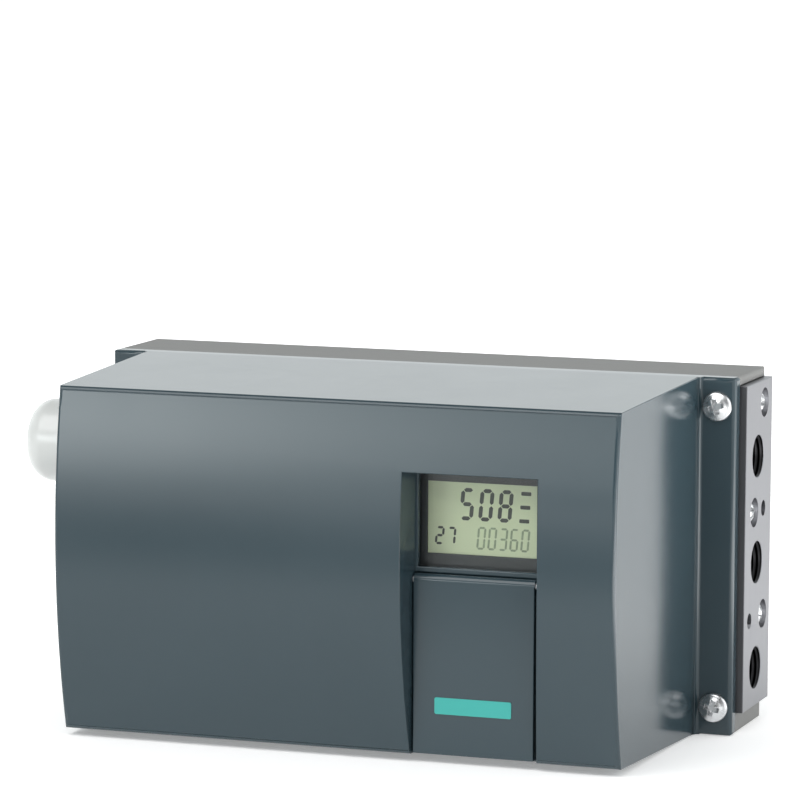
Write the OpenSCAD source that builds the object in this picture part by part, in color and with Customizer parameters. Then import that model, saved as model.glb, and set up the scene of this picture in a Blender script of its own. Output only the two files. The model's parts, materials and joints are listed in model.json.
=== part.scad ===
// Electro-pneumatic valve positioner.
// The origin lies on the feedback shaft's axis, in the rear mounting face.
// +X points to the air ports, +Y out of the rear face and +Z up; the curved front faces -Y.

/* [Housing] */
// Height of the flange, the base and the cover's rear edge
housing_h = 97; // [94:0.5:104]
// Width of the cover where it meets its screw ears
cover_w = 160; // [154:0.5:170]
// Width of the screw ear on each side of the cover
ear_w = 10; // [9:0.5:13]
// Thickness of the cover's flange and ears
ear_t = 4; // [3:0.25:5]
// Depth of the cover from the ears to its upper front edge
cover_depth = 65.5; // [60:0.5:72]
// How far the lower front edge lies behind the upper one
front_setback = 2.9; // [1:0.1:4]
// Height of the curved front above the line between its upper and lower edges
front_crown = 5.2; // [3:0.1:7]
// Moulding draft of the cover's walls in degrees
cover_draft = 1.9; // [0.5:0.1:2.5]
// Wall thickness of the cover
cover_wall = 3; // [2.25:0.25:3.5]
// Rounding of the cover's front edges
front_edge_r = 1.2; // [0.4:0.1:2]
// Rounding of the ears' front edges
ear_edge_r = 1.2; // [0.4:0.1:2]
// Fillet between the cover's sides and its ears
ear_fillet_r = 1; // [0.5:0.1:2]
// Rounding of the flange's four corners
flange_r = 1; // [0.75:0.25:3]
// Depth of the base from the flange to the rear face
base_depth = 27.5; // [27:0.5:34]
// Thickness of the base's rear wall
base_wall = 3.5; // [3:0.25:5]
// Thickness of the base's upper and lower rims
rim_w = 4.5; // [4:0.25:6]
// Width of the solid shoulders at the base's two sides
shoulder_w = 14; // [13:0.5:16]
// Rounding of the base's upright rear edges
base_side_r = 3; // [2:0.5:8]
// Rounding of the base's upper and lower rear edges
base_edge_r = 1.5; // [1:0.5:5]
// Depth of the panels sunk into the rear face between its ribs
rear_sink = 1.5; // [0.5:0.25:2]
// Width of the ribs on the rear face
rear_rib_w = 2.4; // [1.5:0.1:4]
// Width of the gasket's groove in the base
gasket_w = 2; // [1.5:0.1:2.4]
// Thickness of the gasket
gasket_t = 1.6; // [1:0.1:2.5]

/* [Front recess, window and keys] */
// Centre of the front recess, measured from the shaft's axis
recess_x = 37.5; // [30:0.5:40]
// Width of the front recess at the key flap
recess_w = 33.6; // [32:0.1:38]
// Distance of the recess's upper edge below the housing's upper face
recess_drop = 20; // [18:0.5:24]
// Flare of the recess's inner wall in degrees
inner_flare = 6; // [2:0.5:12]
// Flare of the recess's outer wall in degrees
outer_flare = 15; // [5:0.5:20]
// Distance of the key flap's face behind the cover's lower front edge
flap_drop = 0.6; // [0.3:0.1:2]
// Thickness of the key flap
flap_t = 2.2; // [1.8:0.1:2.6]
// Gap around the key flap
flap_gap = 0.3; // [0.2:0.05:0.5]
// Radius of the key flap's hinge knuckle
knuckle_r = 1.7; // [1.5:0.05:2]
// Radius of the key flap's hinge pin
flap_pin_r = 0.9; // [0.6:0.05:1]
// Distance of the key flap's hinge below the window's opening
hinge_drop = 3.2; // [2.9:0.1:6]
// Height of the window's opening
window_h = 25.1; // [22:0.1:25.5]
// Side margin between the recess and the window's opening
window_margin = 0.6; // [0.4:0.1:1.5]
// Thickness of the lip in front of the window pane
window_lip = 1.6; // [1.2:0.1:2]
// Overlap of the pane behind the lip
pane_lap = 1.5; // [1:0.1:2]
// Thickness of the window pane
pane_t = 2; // [1.5:0.1:3]
// Width of the display's visible area
view_w = 30; // [26:0.5:31]
// Height of the display's visible area
view_h = 19; // [16:0.2:20]
// Width of the key bay behind the flap
bay_w = 27; // [26:0.5:29]
// Distance of the key bay's lower edge above the housing's lower face
bay_rise = 8.4; // [7.5:0.1:20]
// Free depth between the closed flap and the keys
key_room = 5; // [4.5:0.1:6]
// Edge length of a key's cap
key_w = 8; // [6:0.25:8.5]
// Thickness of a key's cap
key_cap_t = 1.8; // [1.2:0.1:2.5]
// Spacing of the three keys
key_pitch = 9; // [8.75:0.05:9]
// Travel of a key
key_travel = 1.2; // [0.6:0.1:1.5]
// Radius of a key's stem
key_stem_r = 2; // [1.5:0.1:2.5]
// Thickness of the key bay's floor
bay_floor_t = 2; // [1.5:0.1:3]

/* [Air connection] */
// Thickness of the connection block's outer plate
plate_t = 4; // [3:0.25:6]
// How far the plate stands proud of the base's side
plate_proud = 2; // [1:0.25:2.5]
// Distance from the plate's rear edge to the rear face
plate_inset = 1.2; // [1:0.1:3]
// Distance of the plate's upper edge below the housing's upper face
plate_top_inset = 2.6; // [2:0.1:4]
// Distance of the plate's lower edge above the housing's lower face
plate_bottom_inset = 5.7; // [4:0.1:7]
// Pitch of the three air ports
port_pitch = 29; // [27:0.5:30]
// Depth of the middle port below the shaft's axis
port_drop = 3.3; // [2:0.1:5]
// Distance of the ports' axes from the rear face
port_y = 15.2; // [14:0.1:16]
// Radius of an air port at its thread's core
port_r = 5.72; // [4.4:0.02:6]
// Depth of an air port
port_depth = 13; // [11:0.5:14]
// Radius of an air duct
duct_r = 2.5; // [1.5:0.1:3]
// Width of the block's body behind the plate
block_body_w = 21; // [18:0.5:22]
// Material left beyond the outer ports on the block's body
port_land = 8; // [6.75:0.25:8.5]
// Radius of the seal rings' section
seal_ring_r = 0.8; // [0.6:0.05:1]
// Radius of a restrictor screw
restrictor_r = 2.1; // [1.6:0.1:2.3]
// Length of a restrictor screw
restrictor_l = 9; // [6:0.5:10]
// How far a restrictor screw lies below the plate's face
restrictor_sink = 2.5; // [1:0.25:4]
// Width of the pneumatic block
valve_w = 30; // [26:0.5:31]
// Radius of the diaphragm caps
diaphragm_r = 11; // [8:0.5:13]
// Radius of the exhaust silencer's flange
silencer_r = 9.8; // [8:0.2:11]
// Radius of the exhaust silencer's stem
silencer_stem_r = 6.6; // [5:0.1:7]

/* [Feedback drive] */
// Radius of the feedback shaft's free end
shaft_r = 4; // [3:0.1:4.5]
// Step from the shaft's free end up to its bearing seat
shaft_step = 0.5; // [0.3:0.1:1]
// Length of shaft standing out of the rear face
shaft_reach = 19; // [14:0.5:25]
// Length of the flat on the shaft's end
flat_l = 8; // [6:0.5:9]
// Depth of the flat on the shaft's end
shaft_flat = 0.7; // [0.4:0.1:0.8]
// Wall of the shaft's bush
bush_wall = 2; // [1.5:0.25:2.5]
// Running clearance of shafts and pins in their bores
run_gap = 0.05; // [0.02:0.01:0.08]
// Diameter of the rear bolt circle
bolt_circle_d = 50; // [46:0.5:54]
// Radius of the rear bolt circle's holes
bolt_hole_r = 2.5; // [2:0.05:3]
// Distance between the two bracket holes
bracket_pitch = 72; // [70:0.5:74]
// Radius of the bracket holes
bracket_hole_r = 3.4; // [2.75:0.05:3.5]
// Depth of the rear holes
rear_hole_depth = 9; // [7:0.5:10]
// Module of the gears' teeth
gear_module = 0.8; // [0.7:0.01:0.82]
// Teeth of the drive gear
drive_teeth = 66; // [60:2:66]
// Teeth of the potentiometer's pinion
pinion_teeth = 22; // [20:1:24]
// Width of the gears' teeth
gear_t = 4; // [3:0.25:5]
// Play between the gears' teeth
backlash = 0.16; // [0.12:0.01:0.2]
// Radius of the potentiometer's spindle
spindle_r = 3; // [2:0.1:3.5]
// Radius of the potentiometer's case
pot_r = 10; // [8:0.25:11]
// Height of the potentiometer's case
pot_h = 8; // [6:0.5:9]
// Radius of the slip clutch's wheel
clutch_r = 12; // [9:0.5:13]
// Thickness of the slip clutch's wheel
clutch_t = 6; // [4:0.5:7]
// Thickness of the bearing bridge
bridge_t = 2; // [1.5:0.25:3]
// Width of the bearing bridge
bridge_w = 14; // [12:0.5:18]

/* [Electronics] */
// Thickness of the circuit boards
board_t = 1.6; // [1:0.1:2]
// Height of the main board above the base's front edge
board_rise = 6; // [4:0.5:8]
// Radius of the main board's pillars
pillar_r = 3.2; // [2.8:0.1:4]
// Width of the terminal block
terminal_w = 18; // [14:0.5:18]
// Height of the terminal block above the board
terminal_h = 14; // [10:0.5:18]
// Number of terminals
terminal_count = 10; // [6:1:11]
// Pitch of the terminals
terminal_pitch = 6; // [5:0.1:6.2]

/* [Cable entries] */
// Distance of the cable entries' axes from the housing's upper and lower faces
entry_inset = 28.5; // [26:0.5:31]
// Distance of the cable entries' axes from the rear face
entry_y = 16; // [14:0.25:16]
// Radius of the cable entries' threaded bore
entry_r = 9.4; // [7:0.1:9.8]
// Width across the gland's flats
gland_af = 24; // [22:0.5:25]
// Length of the gland from the base's side to its end
gland_reach = 30.5; // [24:0.5:34]
// Radius of the gland's dome nut
dome_r = 11.8; // [11:0.05:12]
// Rounding of the dome nut's end
dome_edge_r = 6.3; // [4:0.1:6.5]
// Thickness of an entry's seal ring
entry_seal_t = 1.4; // [1:0.1:2]

/* [Fasteners] */
// Radius of the cover screws' and plate screws' shanks
screw_r = 2; // [1.5:0.1:2]
// Radius of the cover screws' heads
screw_head_r = 4; // [3.2:0.1:4.4]
// Height of the screws' heads
screw_head_h = 2.9; // [2:0.1:3.2]
// Distance of the cover screws from the housing's upper and lower faces
cover_screw_inset = 7.7; // [6.5:0.1:10]
// Length of a cover screw in the base
cover_screw_grip = 6.5; // [4:0.25:6.5]
// Radius of the plate screws' heads
plate_head_r = 3.8; // [3.2:0.1:4]
// Length of the plate screws
plate_screw_l = 28; // [24:0.5:30]
// Radius of the small board screws' shanks
small_screw_r = 1.5; // [1:0.05:1.5]
// Radius of the small screws' heads
small_head_r = 2.8; // [2.2:0.1:3]
// Height of the small screws' heads
small_head_h = 1.8; // [1.2:0.1:2]
// Length of a small screw in its thread
small_grip = 7; // [5:0.5:7.5]

/* [Hidden] */
$fn = 64;
// Gap between pieces that are fitted and then stay put
fit_gap = 0.2;
// Gap round a screw in its thread
thread_gap = 0.05;
// Length by which a cutting shape passes the face that it cuts
over = 1;

// Levels along Y, from the rear face towards the front
y_inner = -base_wall;
y_split = -base_depth;
y_ear = y_split - ear_t;

// Half sizes of the housing
half_h = housing_h / 2;
half_w = cover_w / 2 + ear_w;
cavity_x = half_w - shoulder_w;
cavity_z = half_h - rim_w;

// Front edges of the cover in the YZ plane, and the arc through them
draft_slope = tan(cover_draft);
top_front = [y_ear - cover_depth, half_h - cover_depth * draft_slope];
lower_depth = cover_depth - front_setback;
bottom_front = [y_ear - lower_depth, -half_h + lower_depth * draft_slope];
front_chord = norm(top_front - bottom_front);
front_r = front_chord * front_chord / (8 * front_crown) + front_crown / 2;
chord_dir = (top_front - bottom_front) / front_chord;
front_normal = [-chord_dir[1], chord_dir[0]];
front_axis = (top_front + bottom_front) / 2 - front_normal * (front_r - front_crown);
ear_radius = front_axis[0] - y_ear;
y_far = y_ear - cover_depth - 2 * front_crown;

// Recess, flap and window levels
recess_l = recess_x - recess_w / 2;
recess_r = recess_x + recess_w / 2;
y_flap = bottom_front[0] + flap_drop;
y_flap_back = y_flap + flap_t;
y_ledge = y_flap_back + fit_gap;
y_pane = y_ledge + window_lip;
y_ledge_back = y_pane + pane_t;
hinge_y = y_flap + knuckle_r;
recess_wall = 3;
hinge_pin_bite = 2;
recess_top = half_h - recess_drop;
window_top = recess_top - window_margin;
window_z = window_top - window_h;
hinge_z = window_z - hinge_drop;
view_x = recess_x;
view_margin = 3;
view_z = window_top - view_margin - view_h / 2;
lcd_gap = 0.5;
lcd_wall = 4.5;
lcd_lip = 0.6;
lcd_t = 1.4;
y_lcd = y_ledge_back + lcd_gap;

// Keys and their bay
y_key_top = y_flap_back + key_room;
y_key_under = y_key_top + key_cap_t;
key_clear = 0.1;
y_bay = y_key_under + key_travel + key_clear;
y_bay_back = y_bay + bay_floor_t;
bay_lintel = 4;
bay_z1 = hinge_z - knuckle_r - bay_lintel;
bay_z0 = -half_h + bay_rise;
key_z = (bay_z0 + bay_z1) / 2;
switch_h = 1.2;
switch_w = 6.4;
y_stem_end = y_bay_back - 0.8;
y_switch = y_stem_end + key_travel + key_clear;
y_display = y_switch + switch_h;
y_display_back = y_display + board_t;

// Boards and their pillars
y_board = y_split - board_rise;
y_board_front = y_board - board_t;
pillar_z = cavity_z - pillar_r - 4;
pillar_x0 = -cavity_x + 8;
pillar_x1 = 31.4;
board_x0 = -cavity_x + 2;
board_x1 = 43;
board_edge_z = cavity_z - 3;
spacer_r = 2.4;
chip_t = 2.2;
spacer_xs = [recess_l + 2.5, board_x1 - spacer_r - 1];
terminal_x0 = board_x0 + 2;
terminal_l = terminal_count * terminal_pitch;
terminal_screw_r = 1.9;
terminal_screw_l = 6;
terminal_screw_x = terminal_x0 + terminal_w - 6;

// Air connection levels
plate_x = half_w + plate_proud;
plate_back_x = plate_x - plate_t;
plate_top = half_h - plate_top_inset;
plate_bottom = half_h - plate_bottom_inset;
port_zs = [-port_drop + port_pitch, -port_drop, -port_drop - port_pitch];
block_z0 = port_zs[2] - port_land + 1.2;
block_z1 = port_zs[0] + port_land;
block_r = 8;
block_clear = 1;
seal_mid_r = duct_r + 1.8;
seal_touch = 0.02;
seal_x = cavity_x - seal_ring_r - seal_touch;
valve_x0 = cavity_x - valve_w;
valve_z0 = -cavity_z + 4;
valve_z1 = cavity_z - 8;
y_valve = y_split + 2.5;
diaphragm_h = 4;
y_diaphragm = y_valve - diaphragm_h;
diaphragm_zs = [(valve_z0 + valve_z1) / 2 + diaphragm_r + 3, (valve_z0 + valve_z1) / 2 - diaphragm_r - 3];
silencer_x = valve_x0 + valve_w / 2;
silencer_drop = 14;
silencer_z = valve_z1 - silencer_drop;
silencer_flange_t = 2.3;
silencer_depth = base_wall + 7;

// Vents in the rear wall
vent_r = 3;
vent_seat_r = 4.2;
vent_seat_t = 1.4;
vent_land_r = vent_seat_r + 2.4;
vent_pitch = 12;
vent_side_gap = 14;
vent_low_gap = 8;
vent_x = -cavity_x + vent_side_gap;
vent_z = -cavity_z + vent_low_gap;

// Screws of the connection plate and the restrictors beside them, as [y, z]
plate_screw_yz = [
    [-port_y + 6, plate_top - 6.2],
    [-port_y - 3.2, port_zs[1] + port_pitch / 2 - 0.5],
    [-port_y + 6.7, port_zs[1] - port_pitch / 2 - 0.7]
];
edge_screw_l = plate_x - screw_head_h - cavity_x - 2.5;
restrictor_y1_yz = [-port_y + 6, plate_screw_yz[1][1]];
restrictor_y2_yz = [-port_y - 6.8, plate_screw_yz[2][1]];
restrictor_x = plate_x - restrictor_sink - restrictor_l;

// Feedback drive levels and places
bearing_r = shaft_r + shaft_step;
bush_r = bearing_r + bush_wall;
bush_l = 7.5;
seal_l = 3;
seal_r = bush_r + 1.4;
y_bush_end = -seal_l - bush_l;
boss_wall = 3;
rear_boss_l = rear_hole_depth + 2;
pot_x = -gear_module * (drive_teeth + pinion_teeth) / 2;
drive_tip_r = gear_module * (drive_teeth / 2 + 1);
pinion_tip_r = gear_module * (pinion_teeth / 2 + 1);
y_pot = y_inner - pot_h;
y_gear_back = min(y_pot, -rear_boss_l) - 3.5;
y_gear = y_gear_back - gear_t;
y_bridge_back = y_gear - 1.5;
y_bridge = y_bridge_back - bridge_t;
bridge_post_r = 3.5;
bridge_x1 = drive_tip_r + bridge_post_r + 1.5;
bridge_x0 = pot_x - pinion_tip_r - bridge_post_r - 1.5;
journal_r = shaft_r - 1;
shaft_chamfer = 0.6;
clip_t = 0.8;
clip_r = journal_r + 1.4;
clip_bite = 0.5;
y_clip = y_bridge - clip_t - fit_gap;
y_shaft_end = y_clip - 0.8;
y_clutch = y_board_front - 3;
clutch_play = 2;

// Cable entries
entry_face_x = -half_w;
entry_z = half_h - entry_inset;
gland_hex_t = 5;
gland_stem_l = shoulder_w - 2;
gland_bore_r = entry_r - 3;
hex_x = entry_face_x - entry_seal_t - gland_hex_t;
gland_end_x = entry_face_x - gland_reach;
dome_hole_r = dome_r - dome_edge_r - 0.4;
dome_wall = 2.2;
collar_r = dome_r - dome_wall - fit_gap;
collar_l = 10;

// Screws
ear_x = cover_w / 2 + ear_w / 2;
cover_screw_z = half_h - cover_screw_inset;
recess_cross_w = 1.1;
screw_end_gap = 0.5;

// Colours
grey_cover = "#5d6b73";
grey_base = "#8b8b88";
dark_plastic = "#2c3033";
light_plastic = "#d9dad6";
metal = "#b9bcc0";
steel = "#9a9da1";
brass_tone = "#b79a4b";
board_green = "#2e6b45";
rubber_black = "#1d1e1f";

// Shared shapes

// Round bar along Y between two levels
module rod_y(x, z, y0, y1, r) {
    translate([x, y1, z])
        rotate([90, 0, 0])
            cylinder(h = y1 - y0, r = r);
}

// Round bar along X between two levels
module rod_x(y, z, x0, x1, r) {
    translate([x0, y, z])
        rotate([0, 90, 0])
            cylinder(h = x1 - x0, r = r);
}

// Box between two levels on each axis
module block(x, y, z) {
    translate([x[0], y[0], z[0]])
        cube([x[1] - x[0], y[1] - y[0], z[1] - z[0]]);
}

// Outline in XZ, drawn out along Y between two levels
module slab_y(y0, y1) {
    translate([0, y1, 0])
        rotate([90, 0, 0])
            linear_extrude(y1 - y0)
                children();
}

// Outline in YZ, drawn out along X between two levels
module slab_x(x0, x1) {
    translate([x0, 0, 0])
        rotate([90, 0, 90])
            linear_extrude(x1 - x0)
                children();
}

// Outline in XY, drawn out along Z between two levels
module slab_z(z0, z1) {
    translate([0, 0, z0])
        linear_extrude(z1 - z0)
            children();
}

// Rectangle with four round corners
module round_rect(u, v, r) {
    translate([u[0] + r, v[0]])
        square([u[1] - u[0] - 2 * r, v[1] - v[0]]);
    translate([u[0], v[0] + r])
        square([u[1] - u[0], v[1] - v[0] - 2 * r]);
    for (cu = [u[0] + r, u[1] - r], cv = [v[0] + r, v[1] - r])
        translate([cu, cv])
            circle(r);
}

// Revolved outline whose axis runs along -X from the given place
module turned_left(x, y, z) {
    translate([x, y, z])
        rotate([0, -90, 0])
            rotate_extrude()
                children();
}

// Revolved outline whose axis runs along -Y from the given place
module turned_front(x, y, z) {
    translate([x, y, z])
        rotate([90, 0, 0])
            rotate_extrude()
                children();
}

// Half section of a pan head with a domed top
module pan_section(r, h) {
    crown_r = (r * r + h * h) / (2 * h) + r / 3;
    intersection() {
        square([r, h]);
        translate([0, h - crown_r])
            circle(crown_r);
    }
}

// Pan-head screw with a cross recess, head upwards from z = 0 and shank downwards
module pan_screw(head_r, head_h, shank_r, shank_l) {
    difference() {
        union() {
            rotate_extrude()
                pan_section(head_r, head_h);
            translate([0, 0, -shank_l])
                cylinder(h = shank_l + head_h / 4, r = shank_r);
        }
        for (turn = [0, 90])
            rotate([0, 0, turn])
                translate([-head_r * 0.55, -recess_cross_w / 2, head_h * 0.45])
                    cube([head_r * 1.1, recess_cross_w, head_h]);
    }
}

// Screw whose head faces the front
module front_screw(x, y, z, head_r, head_h, shank_r, shank_l) {
    translate([x, y, z])
        rotate([90, 0, 0])
            rotate([0, 0, 20])
                pan_screw(head_r, head_h, shank_r, shank_l);
}

// Places of the four cover screws
module at_cover_screws() {
    for (x = [-ear_x, ear_x], z = [-cover_screw_z, cover_screw_z])
        translate([x, 0, z])
            children();
}

// Places of the main board's four pillars
module at_pillars() {
    for (x = [pillar_x0, pillar_x1], z = [-pillar_z, pillar_z])
        translate([x, 0, z])
            children();
}

// Places of the rear bolt circle's holes
module at_bolt_circle() {
    for (turn = [45 : 90 : 315])
        rotate([0, turn, 0])
            translate([bolt_circle_d / 2, 0, 0])
                children();
}

// Base

// Base without its inside: three outlines cut each other, so every rear edge is round
module base_form() {
    intersection() {
        slab_y(y_split, 0)
            round_rect([-half_w, half_w], [-half_h, half_h], flange_r);
        slab_x(-half_w - over, half_w + over)
            rear_rounded(y_split, half_h, base_edge_r);
        slab_z(-half_h - over, half_h + over)
            mirror([1, -1, 0])
                rear_rounded(y_split, half_w, base_side_r);
    }
}

// Outline with its front edge at u0, its rear edge at 0 and two round rear corners
module rear_rounded(u0, half, r) {
    translate([u0, -half])
        square([-u0 - r, 2 * half]);
    translate([-r - over, -half + r])
        square([r + over, 2 * (half - r)]);
    for (v = [-half + r, half - r])
        translate([-r, v])
            circle(r);
}

// Panels sunk between the ribs of the rear face
module rear_panels() {
    panel_x = cavity_x - 2;
    panel_z = cavity_z - 3;
    bay = (panel_x - bolt_circle_d / 2 - 9) / 3;
    difference() {
        slab_y(-rear_sink, over)
            for (side = [-1, 1], i = [0 : 2], level = [-1, 0, 1])
                translate([side * (panel_x - (i + 0.5) * bay), level * panel_z * 2 / 3])
                    square([bay - rear_rib_w, panel_z * 2 / 3 - rear_rib_w], center = true);
        rod_y(silencer_x, silencer_z, -rear_sink - over, 2 * over, silencer_r + 2.5);
        at_vents()
            rod_y(0, 0, -rear_sink - over, 2 * over, vent_land_r);
    }
}

// Places of the two vents
module at_vents() {
    for (x = [vent_x, vent_x + vent_pitch])
        translate([x, 0, vent_z])
            children();
}

// Bosses and pillars that stand on the rear wall's inside
module base_bosses() {
    root = y_inner + over;
    rod_y(0, 0, y_bush_end, root, bush_r + boss_wall);
    at_bolt_circle()
        rod_y(0, 0, -rear_boss_l, root, bolt_hole_r + boss_wall);
    for (z = [-bracket_pitch / 2, bracket_pitch / 2])
        rod_y(0, z, -rear_boss_l, root, bracket_hole_r + boss_wall);
    at_pillars()
        rod_y(0, 0, y_board, root, pillar_r);
    difference() {
        rod_y(pot_x, 0, y_inner - 4, root, pot_r + fit_gap + 1.6);
        rod_y(pot_x, 0, y_inner - 4 - over, y_inner, pot_r + fit_gap);
    }
    for (x = [bridge_x0, bridge_x1])
        rod_y(x, 0, y_bridge_back, root, bridge_post_r);
}

// Room for the connection block in the right shoulder
module block_room() {
    block([plate_back_x, plate_x], [y_split - over, -plate_inset + fit_gap],
          [-plate_bottom - fit_gap, plate_top + fit_gap]);
    slab_x(cavity_x - over, plate_x)
        block_outline(fit_gap);
}

// Holes and grooves cut into the base
module base_cuts() {
    rod_y(0, 0, y_bush_end - over, over, bush_r);
    rod_y(0, 0, -seal_l, over, seal_r);
    at_bolt_circle()
        rod_y(0, 0, -rear_hole_depth, over, bolt_hole_r);
    for (z = [-bracket_pitch / 2, bracket_pitch / 2])
        rod_y(0, z, -rear_hole_depth, over, bracket_hole_r);
    at_cover_screws()
        rod_y(0, 0, y_split - over, y_split + cover_screw_grip + screw_end_gap, screw_r + thread_gap);
    at_pillars()
        rod_y(0, 0, y_board - over, y_board + small_grip + screw_end_gap, small_screw_r + thread_gap);
    for (x = [bridge_x0, bridge_x1])
        rod_y(x, 0, y_bridge_back - over, y_bridge_back + small_grip + screw_end_gap,
              small_screw_r + thread_gap);
    for (z = [-entry_z, entry_z])
        rod_x(-entry_y, z, entry_face_x - over, -cavity_x + over, entry_r);
    rod_x(plate_screw_yz[0][0], plate_screw_yz[0][1], cavity_x + 1.5, plate_x, screw_r + thread_gap);
    rod_y(silencer_x, silencer_z, y_inner - over, over, silencer_stem_r + fit_gap / 2);
    rod_y(silencer_x, silencer_z, -silencer_flange_t - fit_gap, over, silencer_r + fit_gap);
    at_vents() {
        rod_y(0, 0, y_inner - over, over, vent_r);
        rod_y(0, 0, -vent_seat_t, over, vent_seat_r);
    }
    slab_y(y_split - over, y_split + gasket_t)
        gasket_outline(gasket_w);
}

module base_housing() {
    color(grey_base)
        difference() {
            union() {
                difference() {
                    base_form();
                    block([-cavity_x, cavity_x], [y_split - over, y_inner], [-cavity_z, cavity_z]);
                    rear_panels();
                }
                base_bosses();
            }
            base_cuts();
            block_room();
        }
}

// Cover

// Half height of the cover at a level along Y, moved inwards by the inset
function cover_z(y, inset) = half_h - inset / cos(cover_draft) - (y_ear - y) * draft_slope;

// Half width of the cover at a distance from the front arc's axis
function cover_x(r, inset) = cover_w / 2 - inset / cos(cover_draft) - (r - ear_radius) * draft_slope;

// Outline of the cover in YZ between its drafted upper and lower walls, back to a level
module cover_side(inset, y_back) {
    polygon([
        [y_back, cover_z(y_back, inset)], [y_far, cover_z(y_far, inset)],
        [y_far, -cover_z(y_far, inset)], [y_back, -cover_z(y_back, inset)]
    ]);
}

// Cover's drafted form with its bulging front, as a solid moved inwards by the inset
module cover_form(inset, y_back) {
    r = front_r - inset;
    intersection() {
        slab_x(-half_w, half_w)
            cover_side(inset, y_back);
        translate([0, front_axis[0], front_axis[1]])
            rotate([0, 90, 0])
                rotate_extrude()
                    difference() {
                        polygon([
                            [0, -cover_x(0, inset)], [r, -cover_x(r, inset)],
                            [r, cover_x(r, inset)], [0, cover_x(0, inset)]
                        ]);
                        if (inset == 0)
                            for (side = [-1, 1])
                                flank_rounding(side);
                    }
    }
}

// Outline with round front corners, from the front edge at u0 to the rear edge at u1
module front_rounded(u0, u1, half, r) {
    translate([u0 + r, -half])
        square([u1 - u0 - r, 2 * half]);
    translate([u0, -half + r])
        square([u1 - u0, 2 * (half - r)]);
    for (v = [-half + r, half - r])
        translate([u0 + r, v])
            circle(r);
}

// Flange with its two ears, whose front edges are round
module flange_form() {
    intersection() {
        slab_y(y_ear, y_split)
            round_rect([-half_w, half_w], [-half_h, half_h], flange_r);
        slab_x(-half_w - over, half_w + over)
            front_rounded(y_ear, y_split, half_h, ear_edge_r);
        slab_z(-half_h - over, half_h + over)
            mirror([1, -1, 0])
                front_rounded(y_ear, y_split, half_w, ear_edge_r);
    }
    block([-cover_w / 2, cover_w / 2], [y_ear, y_split], [-half_h, half_h]);
}

// Fillets in the corners between the cover's sides and its ears
module ear_fillets() {
    reach = ear_fillet_r + over;
    intersection() {
        slab_z(-half_h, half_h)
            for (side = [-1, 1])
                difference() {
                    translate([side * cover_w / 2, y_ear])
                        polygon([
                            [-side * over, over], [side * ear_fillet_r, over], [side * ear_fillet_r, 0],
                            [0, -ear_fillet_r], [-side * over, -ear_fillet_r]
                        ]);
                    translate([side * (cover_w / 2 + ear_fillet_r), y_ear - ear_fillet_r])
                        circle(ear_fillet_r);
                }
        slab_x(-half_w, half_w)
            cover_side(0, y_ear + reach);
    }
}

// Waste outside a round corner between two faces with the normals a and b
module corner_waste(centre, a, b, r) {
    reach = 5 * r;
    translate(centre)
        difference() {
            polygon([[0, 0], a * r, a * reach, b * reach, b * r]);
            circle(r);
        }
}

// Waste of the rounding between a side wall and the front
module flank_rounding(side) {
    edge_r = front_r - front_edge_r;
    centre = [edge_r, side * (cover_x(edge_r, 0) - front_edge_r / cos(cover_draft))];
    corner_waste(centre, [1, 0], [sin(cover_draft), side * cos(cover_draft)], front_edge_r);
}

// Waste of the rounding between the upper (side 1) or lower (side -1) wall and the front
module brow_rounding(side) {
    normal = [-sin(cover_draft), side * cos(cover_draft)];
    along = [-cos(cover_draft), -side * sin(cover_draft)];
    start = [y_ear, side * half_h] - normal * front_edge_r - front_axis;
    half_b = start * along;
    reach = -half_b + sqrt(half_b * half_b - start * start + pow(front_r - front_edge_r, 2));
    from_axis = start + along * reach;
    corner_waste(front_axis + from_axis, normal, from_axis / norm(from_axis), front_edge_r);
}

// Front recess with its flared sides, open at the cover's lower edge
module front_recess() {
    inner_run = (y_ledge - y_far) * tan(inner_flare);
    outer_run = (y_ledge - y_far) * tan(outer_flare);
    slab_z(-half_h - over, recess_top)
        polygon([
            [recess_l, y_ledge], [recess_l - inner_run, y_far],
            [recess_r + outer_run, y_far], [recess_r, y_ledge]
        ]);
}

// Walls that the cover has behind its recess, window and key bay
module recess_backing() {
    outer = (y_ledge - y_far) * tan(outer_flare) + recess_wall;
    block([recess_l - recess_wall, recess_r + outer], [y_far, y_ledge_back],
          [-half_h, recess_top + recess_wall]);
    block([recess_x - bay_w / 2 - recess_wall, recess_x + bay_w / 2 + recess_wall], [y_ledge, y_bay_back],
          [bay_z0 - recess_wall, bay_z1 + recess_wall]);
}

// Openings cut through the recess's floor
module recess_cuts() {
    window_x = [recess_l + window_margin, recess_r - window_margin];
    block(window_x, [y_ledge - over, y_pane + over], [window_z, window_top]);
    block([window_x[0] - pane_lap, window_x[1] + pane_lap], [y_pane, y_ledge_back + over],
          [window_z - pane_lap, window_top + pane_lap]);
    block([recess_x - bay_w / 2, recess_x + bay_w / 2], [y_ledge - over, y_bay], [bay_z0, bay_z1]);
    rod_x(hinge_y, hinge_z, recess_l, recess_r, knuckle_r + flap_gap);
    rod_x(hinge_y, hinge_z, recess_l - hinge_pin_bite, recess_r + hinge_pin_bite, flap_pin_r + run_gap / 2);
    for (i = [-1, 0, 1])
        rod_y(recess_x + i * key_pitch, key_z, y_bay - over, y_bay_back + over, key_stem_r + 2 * run_gap);
}

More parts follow.
